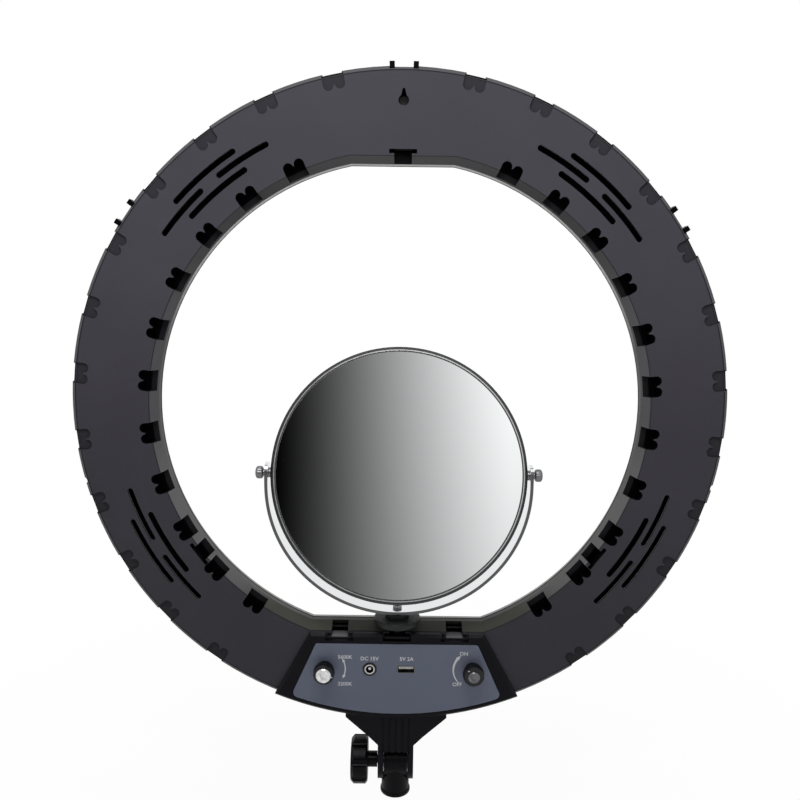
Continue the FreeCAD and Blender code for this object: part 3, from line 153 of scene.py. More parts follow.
@dataclass(frozen=True)
class Finish:
    """One finish: its colour, gloss and the texture that breaks it up.

    Attributes:
        name: the material's name.
        colour: linear red, green and blue.
        grain: how the surface breaks up.
        roughness: the mean roughness.
        swing: how far roughness strays either side of its mean.
        metallic: 1 for bare metal.
        specular: strength of the mirror-like part, 0.5 is that of plain plastic.
        shade: darkest part of the colour's slow drift, as a share of it.
        patch: size of the slow drift's patches, in metres.
        grain_size: size of the texture, in metres.
        relief: depth of the texture, in metres.
        coat: strength of a clear coat.
        centre: the middle of a turned finish, or the origin.
        axis: the direction of a turned or brushed finish: "X", "Y" or "Z".
        zones: parts with a colour and gloss of their own, later ones on top.
    """

    name: str
    colour: Colour
    grain: Grain = Grain.SPARKED
    roughness: float = 0.5
    swing: float = 0.06
    metallic: float = 0.0
    specular: float = 0.5
    shade: float = 0.85
    patch: float = 0.06
    grain_size: float = 0.0006
    relief: float = 0.00004
    coat: float = 0.0
    centre: Triple = (0.0, 0.0, 0.0)
    axis: str = "Y"
    zones: tuple[Zone, ...] = ()

    def material(self) -> bpy.types.Material:
        """Makes the finish once and gives the same material each time it is asked for.

        Returns:
            The node material of this finish.
        """
        made = bpy.data.materials.get(self.name)
        if made:
            return made
        made = bpy.data.materials.new(self.name)
        bench = emptied(made)
        place = bench.place(tuple(-c for c in self.centre))
        drift = bench.noise(place, 1.0 / self.patch, 3.0, 0.55)
        tint = bench.blend(drift, self._shaded(self.colour), self.colour)
        smear = bench.noise(place, 2.7 / self.patch, 4.0, 0.6)
        low, high = max(self.roughness - self.swing, 0.0), self.roughness + self.swing
        gloss = bench.spread(smear, 0.3, 0.7, low, high)
        metal: Socket | float = self.metallic
        for zone in self.zones:
            inside = bench.inside(zone)
            own = bench.blend(drift, self._shaded(zone.colour), zone.colour)
            tint = bench.mix(inside, tint, own)
            gloss = bench.mix(inside, gloss, zone.roughness)
            if metal != zone.metallic:
                metal = bench.mix(inside, metal, zone.metallic)
        bump = bench.add("ShaderNodeBump", {
            "Strength": 1.0, "Distance": self.relief, "Height": self._height(bench, place),
        })
        shader = bench.add("ShaderNodeBsdfPrincipled", {
            "Base Color": tint, "Roughness": gloss, "Metallic": metal,
            "Specular IOR Level": self.specular,
            "Coat Weight": self.coat, "Coat Roughness": 0.08,
            "Normal": bump.outputs["Normal"],
        })
        bench.add("ShaderNodeOutputMaterial", {"Surface": shader.outputs["BSDF"]})
        made.diffuse_color = (*self.colour, 1.0)
        return made

    def _shaded(self, colour: Colour) -> Colour:
        """The darkest part of a colour's slow drift."""
        return tuple(c * self.shade for c in colour)

    def _height(self, bench: NodeBench, place: Socket) -> Socket:
        """The height pattern of the grain.

        Args:
            bench: the node tree's helper.
            place: the coordinates, in metres.

        Returns:
            The socket that gives the height, from 0 to 1.
        """
        scale = 1.0 / self.grain_size
        if self.grain is Grain.TURNED:
            rings = bench.add("ShaderNodeTexWave", {
                "Vector": place, "Scale": scale / 3.0, "Distortion": 0.4, "Detail": 2.0,
            })
            rings.wave_type, rings.rings_direction = "RINGS", self.axis
            return rings.outputs["Fac"]
        if self.grain is Grain.BRUSHED:
            squeeze = tuple(0.02 if a == self.axis else 1.0 for a in "XYZ")
            lines = bench.stretch(place, squeeze)
            return bench.noise(lines, scale, 3.0, 0.6)
        if self.grain is Grain.SPARKED:
            pits = bench.add("ShaderNodeTexVoronoi", {"Vector": place, "Scale": scale})
            pits.feature = "SMOOTH_F1"
            rough = bench.noise(place, scale * 0.6, 4.0, 0.6)
            return bench.sum("MULTIPLY_ADD", pits.outputs["Distance"], 0.6, rough)
        detail = {Grain.POWDER: 2.0, Grain.POLISHED: 1.0, Grain.PRINTED: 5.0}[self.grain]
        return bench.noise(place, scale, detail, 0.5)


@dataclass
class NodeBench:
    """A node tree with the few nodes that every finish uses.

    Attributes:
        tree: the node tree that the nodes go into.
    """

    tree: bpy.types.NodeTree

    def add(
        self, kind: str, values: dict[str, Socket | float | tuple[float, ...]] | None = None
    ) -> bpy.types.Node:
        """Adds a node.

        Args:
            kind: its kind.
            values: what goes into its inputs, by their names: a socket or a number.

        Returns:
            The node.
        """
        node = self.tree.nodes.new(kind)
        for name, value in (values or {}).items():
            self.feed([node.inputs[name]], (value,))
        return node

    def feed(self, inputs: list[Socket], values: tuple) -> None:
        """Links each value that is a socket to its input and sets each that is a number."""
        for socket, value in zip(inputs, values):
            if isinstance(value, Socket):
                self.tree.links.new(value, socket)
            else:
                socket.default_value = value

    def place(self, shift: tuple[float, ...] = (0.0, 0.0, 0.0)) -> Socket:
        """Object coordinates moved by a shift in metres."""
        coordinates = self.add("ShaderNodeTexCoord").outputs["Object"]
        mapping = self.add("ShaderNodeMapping", {"Vector": coordinates, "Location": shift})
        return mapping.outputs["Vector"]

    def stretch(self, place: Socket, factors: tuple[float, ...]) -> Socket:
        """Coordinates squeezed along each axis by its factor."""
        mapping = self.add("ShaderNodeMapping", {"Vector": place, "Scale": factors})
        return mapping.outputs["Vector"]

    def noise(self, place: Socket, scale: float, detail: float, fade: float) -> Socket:
        """Soft noise.

        Args:
            place: the coordinates.
            scale: patches in a metre.
            detail: how many finer layers it has.
            fade: how much of each finer layer is kept.

        Returns:
            The noise, about 0.5 on average.
        """
        return self.add("ShaderNodeTexNoise", {
            "Vector": place, "Scale": scale, "Detail": detail, "Roughness": fade,
        }).outputs["Fac"]

    def spread(
        self, value: Socket, low: float, high: float, to_low: float, to_high: float
    ) -> Socket:
        """Maps low..high to to_low..to_high and stops there."""
        return self.add("ShaderNodeMapRange", {
            "Value": value, "From Min": low, "From Max": high, "To Min": to_low, "To Max": to_high,
        }).outputs["Result"]

    def sum(self, operation: str, *values: Socket | float) -> Socket:
        """The result of a Math node on sockets or numbers."""
        node = self.add("ShaderNodeMath")
        node.operation = operation
        self.feed(node.inputs, values)
        return node.outputs[0]

    def vector(self, operation: str, *values: Socket | tuple[float, ...]) -> bpy.types.Node:
        """A Vector Math node on sockets or triples."""
        node = self.add("ShaderNodeVectorMath")
        node.operation = operation
        self.feed(node.inputs, values)
        return node

    def mix(self, factor: Socket, first: Socket | float, second: Socket | float) -> Socket:
        """A colour or a value between two, by a factor from 0 to 1.

        Args:
            factor: 0 gives the first, 1 the second.
            first: a socket or a number; a colour's socket makes it a mix of colours.
            second: a socket, or a number.

        Returns:
            The mixed socket.
        """
        node = self.add("ShaderNodeMix")
        colours = isinstance(first, Socket) and first.type == "RGBA"
        node.data_type = "RGBA" if colours else "FLOAT"
        self.feed([s for s in node.inputs if s.enabled], (factor, first, second))
        return next(s for s in node.outputs if s.enabled)

    def inside(self, zone: Zone) -> Socket:
        """1 inside every limit of a zone, 0 outside any, with soft ends.

        Args:
            zone: the zone.

        Returns:
            The zone's mask.
        """
        coordinates = self.add("ShaderNodeTexCoord").outputs
        own = self.add("ShaderNodeMapping", {
            "Vector": coordinates["Object"], "Location": zone.centre,
            "Rotation": (math.radians(zone.lean), 0.0, 0.0),
        })
        own.vector_type = "TEXTURE"
        place = own.outputs["Vector"]
        split = self.add("ShaderNodeSeparateXYZ", {"Vector": place}).outputs
        face = self.add("ShaderNodeSeparateXYZ", {"Vector": coordinates["Normal"]}).outputs
        flat = self.vector("MULTIPLY", place, (1.0, 0.0, 1.0)).outputs[0]
        mask: Socket | float = 1.0
        for limit in zone.limits:
            if limit.measure is Measure.REACH:
                value = self.vector("LENGTH", flat).outputs["Value"]
            elif limit.measure is Measure.STRAP:
                below = self.sum("MINIMUM", split["Z"], 0.0)
                bend = self.add("ShaderNodeCombineXYZ", {"X": split["X"], "Z": below})
                value = self.vector("LENGTH", bend.outputs["Vector"]).outputs["Value"]
            elif limit.measure is Measure.DEPTH:
                value = split["Y"]
            elif limit.measure is Measure.HEIGHT:
                value = split["Z"]
            elif limit.measure is Measure.FACING:
                value = face["Y"]
            else:
                out = self.vector("NORMALIZE", flat).outputs[0]
                turn = self.vector("DOT_PRODUCT", coordinates["Normal"], out)
                value = turn.outputs["Value"]
            half = limit.soft / 2
            rise = self.spread(value, limit.low - half, limit.low + half, 0.0, 1.0)
            fall = self.spread(value, limit.high - half, limit.high + half, 1.0, 0.0)
            mask = self.sum("MULTIPLY", self.sum("MULTIPLY", rise, fall), mask)
        return mask

    def blend(self, factor: Socket, first: Colour, second: Colour) -> Socket:
        """A colour between two, by a noise around 0.5."""
        ramp = self.add("ShaderNodeValToRGB", {"Fac": factor})
        for element, place, colour in zip(ramp.color_ramp.elements, (0.3, 0.7), (first, second)):
            element.position, element.color = place, (*colour, 1.0)
        return ramp.outputs["Color"]


def emptied(owner: bpy.types.Material | bpy.types.World) -> NodeBench:
    """The node tree of a new material or world, with nothing in it."""
    owner.use_nodes = True
    owner.node_tree.nodes.clear()
    return NodeBench(owner.node_tree)


MIRROR_AXIS = (0.0, -7.0 * MM, 261.2 * MM)
MIRROR_LEAN = -14.0
REACH, STRAP, DEPTH, HEIGHT, FACING, OUTWARD = Measure


def deep_black(*limits: Limit, roughness: float = 0.8) -> Zone:
    """A zone of deep black that mirrors nothing, inside all the limits given."""
    return Zone((0.0035, 0.0035, 0.004), roughness, limits, metallic=1.0)


WALL = turned(OUTWARD, -1.1, -0.5)
SLOPE = (WALL, span(DEPTH, -11.95, 4.0))
STRIP = (WALL, span(DEPTH, -1.0, 1.3))
BACK = turned(FACING, -1.1, -0.5)
SHELL_ZONES = (
    # the sloping wall of the opening, with light and shade painted by height as light falls from
    # above: lighter on its lower sides, olive at its bottom and darker at its top
    Zone((0.135, 0.132, 0.140), 0.45, SLOPE),
    Zone((0.20, 0.20, 0.20), 0.45, (*SLOPE, span(HEIGHT, -150, -30, 50))),
    Zone((0.095, 0.095, 0.084), 0.45, (*SLOPE, span(HEIGHT, -190, -145, 20))),
    Zone((0.058, 0.056, 0.058), 0.45, (*SLOPE, span(HEIGHT, 110, 190, 80))),
    # its dark arris; its light strip, a lighter band with a painted highlight that is brightest at
    # the top; and painted shade from there forward to its edge at the bezel
    Zone((0.030, 0.029, 0.032), 0.5, (WALL, span(DEPTH, -12.3, -10.9, 0.4))),
    Zone((0.20, 0.20, 0.195), 0.35, STRIP),
    Zone((0.75, 0.75, 0.74), 0.35, (*STRIP, span(HEIGHT, 75, 200, 60))),
    Zone((0.030, 0.030, 0.028), 0.5, (span(DEPTH, 1.3, 14.0),)),
    # painted shade: the insides of the deep pockets at the opening and what shows through the
    # vents
    deep_black(span(REACH, 184.3, 205.0), span(DEPTH, -11.3, 9.0)),
    deep_black(span(REACH, 186.6, 236.9), span(DEPTH, -9.9, 9.0)),
    # painted shade in the mouths of the deep pockets in the wall, and a lighter painted shade in
    # the shallow pockets at the rim
    Zone((0.012, 0.012, 0.014), 0.7, (
        span(REACH, 165.0, 184.3), span(DEPTH, -11.3, 0.0), turned(OUTWARD, -0.45, 0.45),
    )),
    Zone((0.034, 0.033, 0.040), 0.6, (span(REACH, 224.0, 237.1), span(DEPTH, -11.7, 9.0))),
    # the edge round the rim, painted lighter as a highlight, with a dark line inside it
    Zone((0.022, 0.021, 0.025), 0.5, (
        span(REACH, 236.3, 237.2, 0.2), turned(FACING, -1.1, -0.9),
    )),
    Zone((0.085, 0.083, 0.090), 0.45, (span(REACH, 237.2, 241.0), turned(FACING, -0.85, -0.55))),
    # the posts on the rim, from all sides and then their faces that look back
    deep_black(span(REACH, 240.2, 260.0), roughness=0.5),
    deep_black(span(REACH, 237.6, 260.0), turned(FACING, -1.1, -0.95, 0.01), roughness=0.5),
)
SHELL = Finish(
    "shell_satin_charcoal", (0.066, 0.063, 0.077), Grain.SPARKED,
    roughness=0.52, specular=0.10, shade=0.88, patch=0.09, grain_size=0.0009, relief=0.00005,
    zones=SHELL_ZONES,
)
BEZEL = Finish(
    "bezel_satin_olive", (0.055, 0.054, 0.047), Grain.SPARKED,
    roughness=0.42, specular=0.45, shade=0.86, patch=0.07, grain_size=0.0008, relief=0.00003,
)
HOUSING = Finish(
    "housing_satin_black", (0.0065, 0.0062, 0.0095), Grain.SPARKED,
    roughness=0.40, specular=0.08, shade=0.8, patch=0.05, grain_size=0.0008, relief=0.00004,
)
PANEL = Finish(
    "panel_slate_paint", (0.195, 0.220, 0.300), Grain.POWDER,
    roughness=0.45, specular=0.25, shade=0.93, patch=0.08, grain_size=0.0007, relief=0.00001,
)
KNOB = Finish(
    "knob_black_plastic", (0.004, 0.004, 0.005), Grain.POLISHED,
    roughness=0.22, specular=0.30, patch=0.01, grain_size=0.002, relief=0.00001,
)
JACK = replace(
    KNOB, name="jack_black_plastic", roughness=0.35,
    zones=(
        # the bright ring of its mouth
        Zone((0.75, 0.75, 0.74), 0.4, (span(REACH, 2.9, 3.9),),
             centre=(-20.5 * MM, 0.0, 111.1 * MM), metallic=0.3),
    ),
)
CAP = Finish(
    "cap_turned_aluminium", (0.80, 0.80, 0.81), Grain.TURNED,
    roughness=0.30, swing=0.06, metallic=1.0, shade=0.5, patch=0.003,
    grain_size=0.0004, relief=0.000012,
)
DULL_CAP = replace(CAP, colour=(0.16, 0.16, 0.17))
BLACK_METAL = Finish(
    "clamp_black_powder_coat", (0.0035, 0.0035, 0.005), Grain.POWDER,
    roughness=0.42, specular=0.08, patch=0.03, grain_size=0.0011, relief=0.00003,
)
CLAMP_KNOB = Finish(
    "clamp_knob_black_plastic", (0.0035, 0.0035, 0.005), Grain.SPARKED,
    roughness=0.36, specular=0.08, patch=0.02, grain_size=0.0008, relief=0.00003,
)
CHROME = Finish(
    "polished_chrome", (0.78, 0.79, 0.80), Grain.POLISHED,
    roughness=0.07, swing=0.03, metallic=1.0, shade=0.97, patch=0.03,
    grain_size=0.006, relief=0.00001,
)
YOKE = replace(
    CHROME, name="yoke_chrome",
    zones=(
        # the dull edge of the bar that looks back
        Zone((0.10, 0.10, 0.102), 0.35, (span(STRAP, 97.0, 120.0), turned(FACING, -1.1, -0.8)),
             centre=(0.0, 0.0, 252.9 * MM), metallic=1.0),
    ),
)
PIVOT = replace(
    CHROME, name="pivot_satin_chrome", colour=(0.17, 0.17, 0.175), roughness=0.3, patch=0.006
)
YOKE_SCREW = replace(PIVOT, name="yoke_screw_chrome", colour=(0.15, 0.15, 0.155))
PIVOT_WASHER = replace(PIVOT, name="pivot_washer_steel", colour=(0.16, 0.16, 0.165))
RIM = replace(
    CHROME, name="mirror_rim_satin_chrome", colour=(0.50, 0.50, 0.505), roughness=0.32, swing=0.05,
    zones=(
        Zone((0.055, 0.055, 0.057), 0.4, (span(REACH, 93.2, 120.0),),
             centre=MIRROR_AXIS, lean=MIRROR_LEAN, metallic=1.0),
    ),
)
SILVERING = Finish(
    "silvered_glass", (0.93, 0.94, 0.945), Grain.POLISHED,
    roughness=0.015, swing=0.012, metallic=1.0, shade=0.99, patch=0.07,
    grain_size=0.03, relief=0.0,
    zones=(
        Zone((0.09, 0.09, 0.092), 0.5, (span(REACH, 91.5, 120.0),),
             centre=MIRROR_AXIS, lean=MIRROR_LEAN, metallic=1.0),
    ),
)
WHEEL = Finish(
    "wheel_ribbed_rubber", (0.010, 0.013, 0.012), Grain.SPARKED,
    roughness=0.5, specular=0.3, patch=0.01, grain_size=0.0006, relief=0.00004,
)
BLACKED_STEEL = Finish(
    "shoe_blacked_steel", (0.006, 0.006, 0.007), Grain.BRUSHED,
    roughness=0.38, metallic=1.0, patch=0.01, grain_size=0.0005, relief=0.00001, axis="X",
)
PAINTED_LIGHT_SHOE_STEEL = replace(
    BLACKED_STEEL, name="shoe_steel_painted_light",
    # painted light on the floor near the mouth, where light reaches in; blacked deeper inside
    zones=(Zone((0.30, 0.30, 0.315), 0.5, (span(DEPTH, -17.0, -2.5, 1.0),)),),
)
STEEL = Finish(
    "zinc_plated_steel", (0.55, 0.55, 0.56), Grain.BRUSHED,
    roughness=0.30, metallic=1.0, patch=0.008, grain_size=0.0004, relief=0.00001,
)
BRASS = Finish(
    "contact_brass", (0.72, 0.56, 0.28), Grain.BRUSHED,
    roughness=0.28, metallic=1.0, patch=0.004, grain_size=0.0003, relief=0.000005,
)
NICKEL = Finish(
    "port_nickel_plate", (0.20, 0.20, 0.195), Grain.BRUSHED,
    roughness=0.3, metallic=1.0, patch=0.006, grain_size=0.0003, relief=0.000005, axis="X",
)
CONTACT_PLASTIC = Finish(
    "contact_carrier_white", (0.62, 0.62, 0.60), Grain.SPARKED,
    roughness=0.45, patch=0.004, grain_size=0.0004, relief=0.00001,
)
DIFFUSER = Finish(
    "diffuser_milky_acrylic", (0.80, 0.80, 0.775), Grain.SPARKED,
    roughness=0.38, specular=0.5, shade=0.975, patch=0.12, grain_size=0.0012, relief=0.00002,
)
BOARD = Finish(
    "board_white_solder_mask", (0.80, 0.81, 0.79), Grain.POLISHED,
    roughness=0.35, patch=0.02, grain_size=0.002, relief=0.00001,
    zones=(
        # painted shade on the back of the board, which lies dark inside the shell
        deep_black(BACK),
        # a painted spot of light where the keyhole lets light onto that back
        Zone((0.30, 0.30, 0.32), 0.5, (BACK, span(REACH, -1000.0, 3.2)),
             centre=(0.2 * MM, 0.0, 528.8 * MM)),
    ),
)
DRIVER = Finish(
    "board_green_solder_mask", (0.02, 0.11, 0.05), Grain.POLISHED,
    roughness=0.3, patch=0.008, grain_size=0.002, relief=0.00002,
)
WARM_PHOSPHOR = Finish(
    "diode_warm_phosphor", (0.85, 0.52, 0.13), Grain.POLISHED,
    roughness=0.35, patch=0.002, grain_size=0.001, relief=0.00001,
)
COOL_PHOSPHOR = Finish(
    "diode_cool_phosphor", (0.88, 0.82, 0.42), Grain.POLISHED,
    roughness=0.35, patch=0.002, grain_size=0.001, relief=0.00001,
)
COMPONENT = Finish(
    "component_black_epoxy", (0.02, 0.02, 0.023), Grain.SPARKED,
    roughness=0.4, patch=0.005, grain_size=0.0005, relief=0.00002,
)
CORE = Finish(
    "mirror_core_board", (0.10, 0.095, 0.09), Grain.POWDER,
    roughness=0.8, patch=0.02, grain_size=0.001, relief=0.00003,
)
WASHER = Finish(
    "washer_black_nylon", (0.01, 0.01, 0.011), Grain.SPARKED,
    roughness=0.4, patch=0.004, grain_size=0.0006, relief=0.00001,
)
INK = Finish(
    "panel_white_ink", (0.93, 0.94, 0.96), Grain.PRINTED,
    roughness=0.55, specular=0.3, shade=0.93, patch=0.002, grain_size=0.0004, relief=0.00001,
)


def dress(nodes: dict[str, Finish], frame: dict) -> None:
    """Gives each CAD node its finish, in every material slot that it has.

    Args:
        nodes: finish by node name.
    """
    for name, finish in nodes.items():
        piece = frame["nodes"][name]
        material = finish.material()
        if not piece.data.materials:
            piece.data.materials.append(material)
        for index in range(len(piece.material_slots)):
            piece.material_slots[index].material = material
        LOG.info("%-24s %s", name, finish.name)


# ---------------------------------------------------------------- surfaces


def solid(name: str, points: np.ndarray, faces: list[list[int]]) -> bpy.types.Mesh:
    """A mesh from its points and faces."""
    mesh = bpy.data.meshes.new(name)
    mesh.from_pydata(points.tolist(), [], faces)
    mesh.update()
    return mesh


def in_scene(name: str, data: bpy.types.ID) -> bpy.types.Object:
    """A new object in the scene that holds this mesh, curve, lamp or camera."""
    thing = bpy.data.objects.new(name, data)
    bpy.context.scene.collection.objects.link(thing)
    return thing


def lofted(name: str, rows: np.ndarray) -> bpy.types.Mesh:
    """A closed solid from rings of points laid one after another.

    Point (i, j) is joined to (i, j+1) round each ring and to (i+1, j) along the
    row, and the first and last rings are closed with one flat face each.  The
    volume of the result is worked out from its faces as the sum of the triple
    products of their corners, and the faces are turned round if it is negative.

    Args:
        name: the mesh's name.
        rows: array of rings, points and coordinates, shape (n, m, 3).

    Returns:
        The mesh, its faces pointing outwards.
    """
    n, m, _ = rows.shape
    i, j = np.meshgrid(np.arange(n - 1), np.arange(m), indexing="ij")
    right = (j + 1) % m
    quads = np.stack([i * m + j, i * m + right, (i + 1) * m + right, (i + 1) * m + j], -1)
    quads = quads.reshape(-1, 4)
    points = rows.reshape(-1, 3)
    corner = points[quads] - points.mean(0)
    signed = np.einsum("ij,ij->i", corner[:, 0], np.cross(corner[:, 1], corner[:, 2]))
    signed += np.einsum("ij,ij->i", corner[:, 0], np.cross(corner[:, 2], corner[:, 3]))
    first, last = np.arange(m)[::-1], np.arange(m) + (n - 1) * m
    if signed.sum() < 0.0:
        quads, first, last = quads[:, ::-1], first[::-1], last[::-1]
    return solid(name, points, [*quads.tolist(), first.tolist(), last.tolist()])


def add_piece(
    name: str, mesh: bpy.types.Mesh, finish: Finish, body: str
) -> bpy.types.Object:
    """Puts a mesh into the scene as a piece of the object.

    Args:
        name: the piece's name.
        mesh: its mesh, in the row frame.
        finish: the finish that it gets.
        body: the CAD body that it rides on.

    Returns:
        The new object, at the origin.
    """
    piece = in_scene(name, mesh)
    mesh.materials.clear()
    mesh.materials.append(finish.material())
    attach(piece, body)
    LOG.info("%-24s %s on %s", name, finish.name, body)
    return piece


def joined(name: str, meshes: list[bpy.types.Mesh]) -> bpy.types.Mesh:
    """One mesh that holds all the meshes given, which are then removed.

    Args:
        name: the new mesh's name.
        meshes: the meshes to put together.

    Returns:
        The joined mesh.
    """
    points: list[np.ndarray] = []
    faces: list[list[int]] = []
    start = 0
    for mesh in meshes:
        flat = np.empty(len(mesh.vertices) * 3)
        mesh.vertices.foreach_get("co", flat)
        points.append(flat.reshape(-1, 3))
        faces += [[start + v for v in polygon.vertices] for polygon in mesh.polygons]
        start += len(mesh.vertices)
        bpy.data.meshes.remove(mesh)
    return solid(name, np.concatenate(points), faces)


INK_THICKNESS = 0.05 * MM


@dataclass
class PrintedArc:
    """A curved band of ink on the panel, with a width that changes along it.

    Attributes:
        centre: the middle of the arc on the panel, x and z in metres.
        radius: the arc's radius.
        start: the angle where it starts, in degrees from +X towards +Z.
        stop: the angle where it ends.
        widths: pairs of place along the arc, from 0 to 1, and width in metres.
        face: the panel's front, along Y.
    """

    centre: tuple[float, float]
    radius: float
    start: float
    stop: float
    widths: list[tuple[float, float]]
    face: float

    def mesh(self, name: str) -> bpy.types.Mesh:
        """Lays the band out along its arc.

        At a share t of the arc the angle is start + t (stop - start).  The ring of
        four corners there lies at radius plus and minus half the width, on the
        panel and one thickness in front of it.

        Args:
            name: the mesh's name.

        Returns:
            The band as a closed solid.
        """
        places, widths = np.array(self.widths).T
        even = np.linspace(0.0, 1.0, 49)
        share = np.sort(np.concatenate([even, places, np.clip(places[1:-1] + 1e-4, 0, 1)]))
        wide = np.maximum(np.interp(share, places, widths), 0.02 * MM)
        angle = np.radians(self.start + share * (self.stop - self.start))
        side = np.array([-0.5, 0.5, 0.5, -0.5])
        front = np.array([0.0, 0.0, 1.0, 1.0])
        reach = self.radius + wide[:, None] * side
        x = self.centre[0] + reach * np.cos(angle)[:, None]
        z = self.centre[1] + reach * np.sin(angle)[:, None]
        y = self.face - front * INK_THICKNESS + np.zeros_like(reach)
        return lofted(name, np.stack([x, y, z], -1))


@dataclass
class PrintedWord:
    """A short word or number printed on the panel.

    Attributes:
        text: what it says.
        centre: the middle of it, x and z in metres.
        height: the capitals' height, which is 0.7 of the font's size.
        face: the panel's front, along Y.
        weight: how much bolder the strokes are than the font's own.
    """

    text: str
    centre: tuple[float, float]
    height: float
    face: float
    weight: float = 0.07 * MM

    def mesh(self) -> bpy.types.Mesh:
        """Cuts the letters out as a thin plate and stands them on the panel.

        Each letter point (a, b, c) goes to x = centre + a, z = centre + b,
        y = face - c, so the letters read rightly from the back of the lamp.

        Returns:
            The word as a thin closed plate.
        """
        curve = bpy.data.curves.new(self.text, "FONT")
        curve.body = self.text
        curve.align_x, curve.align_y = "CENTER", "CENTER"
        curve.size = self.height / 0.7
        curve.resolution_u = 3
        curve.extrude = INK_THICKNESS / 2
        curve.offset = self.weight
        holder = in_scene(self.text, curve)
        graph = bpy.context.evaluated_depsgraph_get()
        mesh = bpy.data.meshes.new_from_object(holder.evaluated_get(graph))
        bpy.data.objects.remove(holder)
        bpy.data.curves.remove(curve)
        flat = np.empty(len(mesh.vertices) * 3)
        mesh.vertices.foreach_get("co", flat)
        a, b, c = flat.reshape(-1, 3).T
        a, b = a - (a.max() + a.min()) / 2, b - (b.max() + b.min()) / 2
        x, z = self.centre[0] + a, self.centre[1] + b
        placed = np.stack([x, self.face - c - INK_THICKNESS / 2, z], -1)
        mesh.vertices.foreach_set("co", placed.ravel())
        mesh.update()
        return mesh


# ---------------------------------------------------------- sub-assemblies


@dataclass
class RingBody:
    """The ring: rear shell, inner bezel, shoe floors, light source and diffuser."""

    finishes: dict[str, Finish] = field(
        default_factory=lambda: {
            "rear_shell": SHELL,
            "inner_bezel": BEZEL,
            "front_diffuser": DIFFUSER,
            "led_board": BOARD,
            "warm_leds": WARM_PHOSPHOR,
            "white_leds": COOL_PHOSPHOR,
            "board_screws": STEEL,
            "shoe_plate_left": PAINTED_LIGHT_SHOE_STEEL,
            "shoe_plate_centre": PAINTED_LIGHT_SHOE_STEEL,
            "shoe_plate_right": PAINTED_LIGHT_SHOE_STEEL,
            "shoe_plate_top": BLACKED_STEEL,
            "shoe_plate_side_left": BLACKED_STEEL,
            "shoe_plate_side_right": BLACKED_STEEL,
        }
    )

    def build(self, frame: dict) -> None:
        """Dresses the ring's nodes."""
        dress(self.finishes, frame)


@dataclass
class ControlPanel:
    """The control cover with its sheet, sockets and printed marks.

    Attributes:
        finishes: the finish of each node.
        word_height: height of the printed letters.
        colour_dial: centre of the left knob on the panel, x and z.
        dimmer_dial: centre of the right knob on the panel.
        colour_arc_radius: radius of the left scale.
        dimmer_arc_radius: radius of the right scale.
    """

    finishes: dict[str, Finish] = field(
        default_factory=lambda: {
            "control_housing": HOUSING,
            "control_panel": PANEL,
            "driver_board": DRIVER,
            "driver_parts": COMPONENT,
            "dc_jack": JACK,
            "dc_pin": STEEL,
            "usb_port": NICKEL,
            "usb_tongue": CONTACT_PLASTIC,
        }
    )
    word_height: float = 2.9 * MM
    colour_dial: tuple[float, float] = (-54.7 * MM, 111.1 * MM)
    dimmer_dial: tuple[float, float] = (58.0 * MM, 111.1 * MM)
    colour_arc_radius: float = 15.6 * MM
    dimmer_arc_radius: float = 14.8 * MM

    def build(self, frame: dict) -> None:
        """Dresses the cover and prints its scales and labels."""
        dress(self.finishes, frame)
        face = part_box("control_panel")[0].y
        # an arrow with two heads between the colour temperatures
        self._print_scale("colour_scale", PrintedArc(
            self.colour_dial, self.colour_arc_radius, -30.0, 32.0,
            [(0.0, 0.0), (0.17, 2.6 * MM), (0.171, 0.9 * MM),
             (0.829, 0.9 * MM), (0.83, 2.6 * MM), (1.0, 0.0)],
            face,
        ))
        self._print_words("colour_words", face, {"5600K": (-39.2, 120.7), "3200K": (-39.2, 98.9)})
        # an arc that grows towards ON and ends in an arrow's head
        self._print_scale("dimmer_scale", PrintedArc(
            self.dimmer_dial, self.dimmer_arc_radius, 226.0, 128.0,
            [(0.0, 0.5 * MM), (0.84, 1.9 * MM), (0.841, 3.2 * MM), (1.0, 0.0)],
            face,
        ))
        self._print_words("dimmer_words", face, {"ON": (50.9, 124.4), "OFF": (46.4, 99.5)})
        # the plain rating over each socket
        self._print_words("socket_words", face, {"DC 15V": (-20.5, 119.6), "5V 2A": (7.6, 119.6)})

    def _print_scale(self, name: str, arc: PrintedArc) -> None:
        """Puts an arc of ink on the panel."""
        add_piece(name, arc.mesh(name), INK, "head")

    def _print_words(
        self, name: str, face: float, words: dict[str, tuple[float, float]]
    ) -> None:
        """Puts words on the panel as one piece.

        Args:
            name: the piece's name.
            face: the panel's front, along Y.
            words: the middle of each word, x and z in millimetres.
        """
        meshes = [
            PrintedWord(text, (x * MM, z * MM), self.word_height, face).mesh()
            for text, (x, z) in words.items()
        ]
        add_piece(name, joined(name, meshes), INK, "head")


class Side(Enum):
    """The two controls of the panel, by the first word of their nodes."""

    COLOUR = "colour"
    DIMMER = "dimmer"


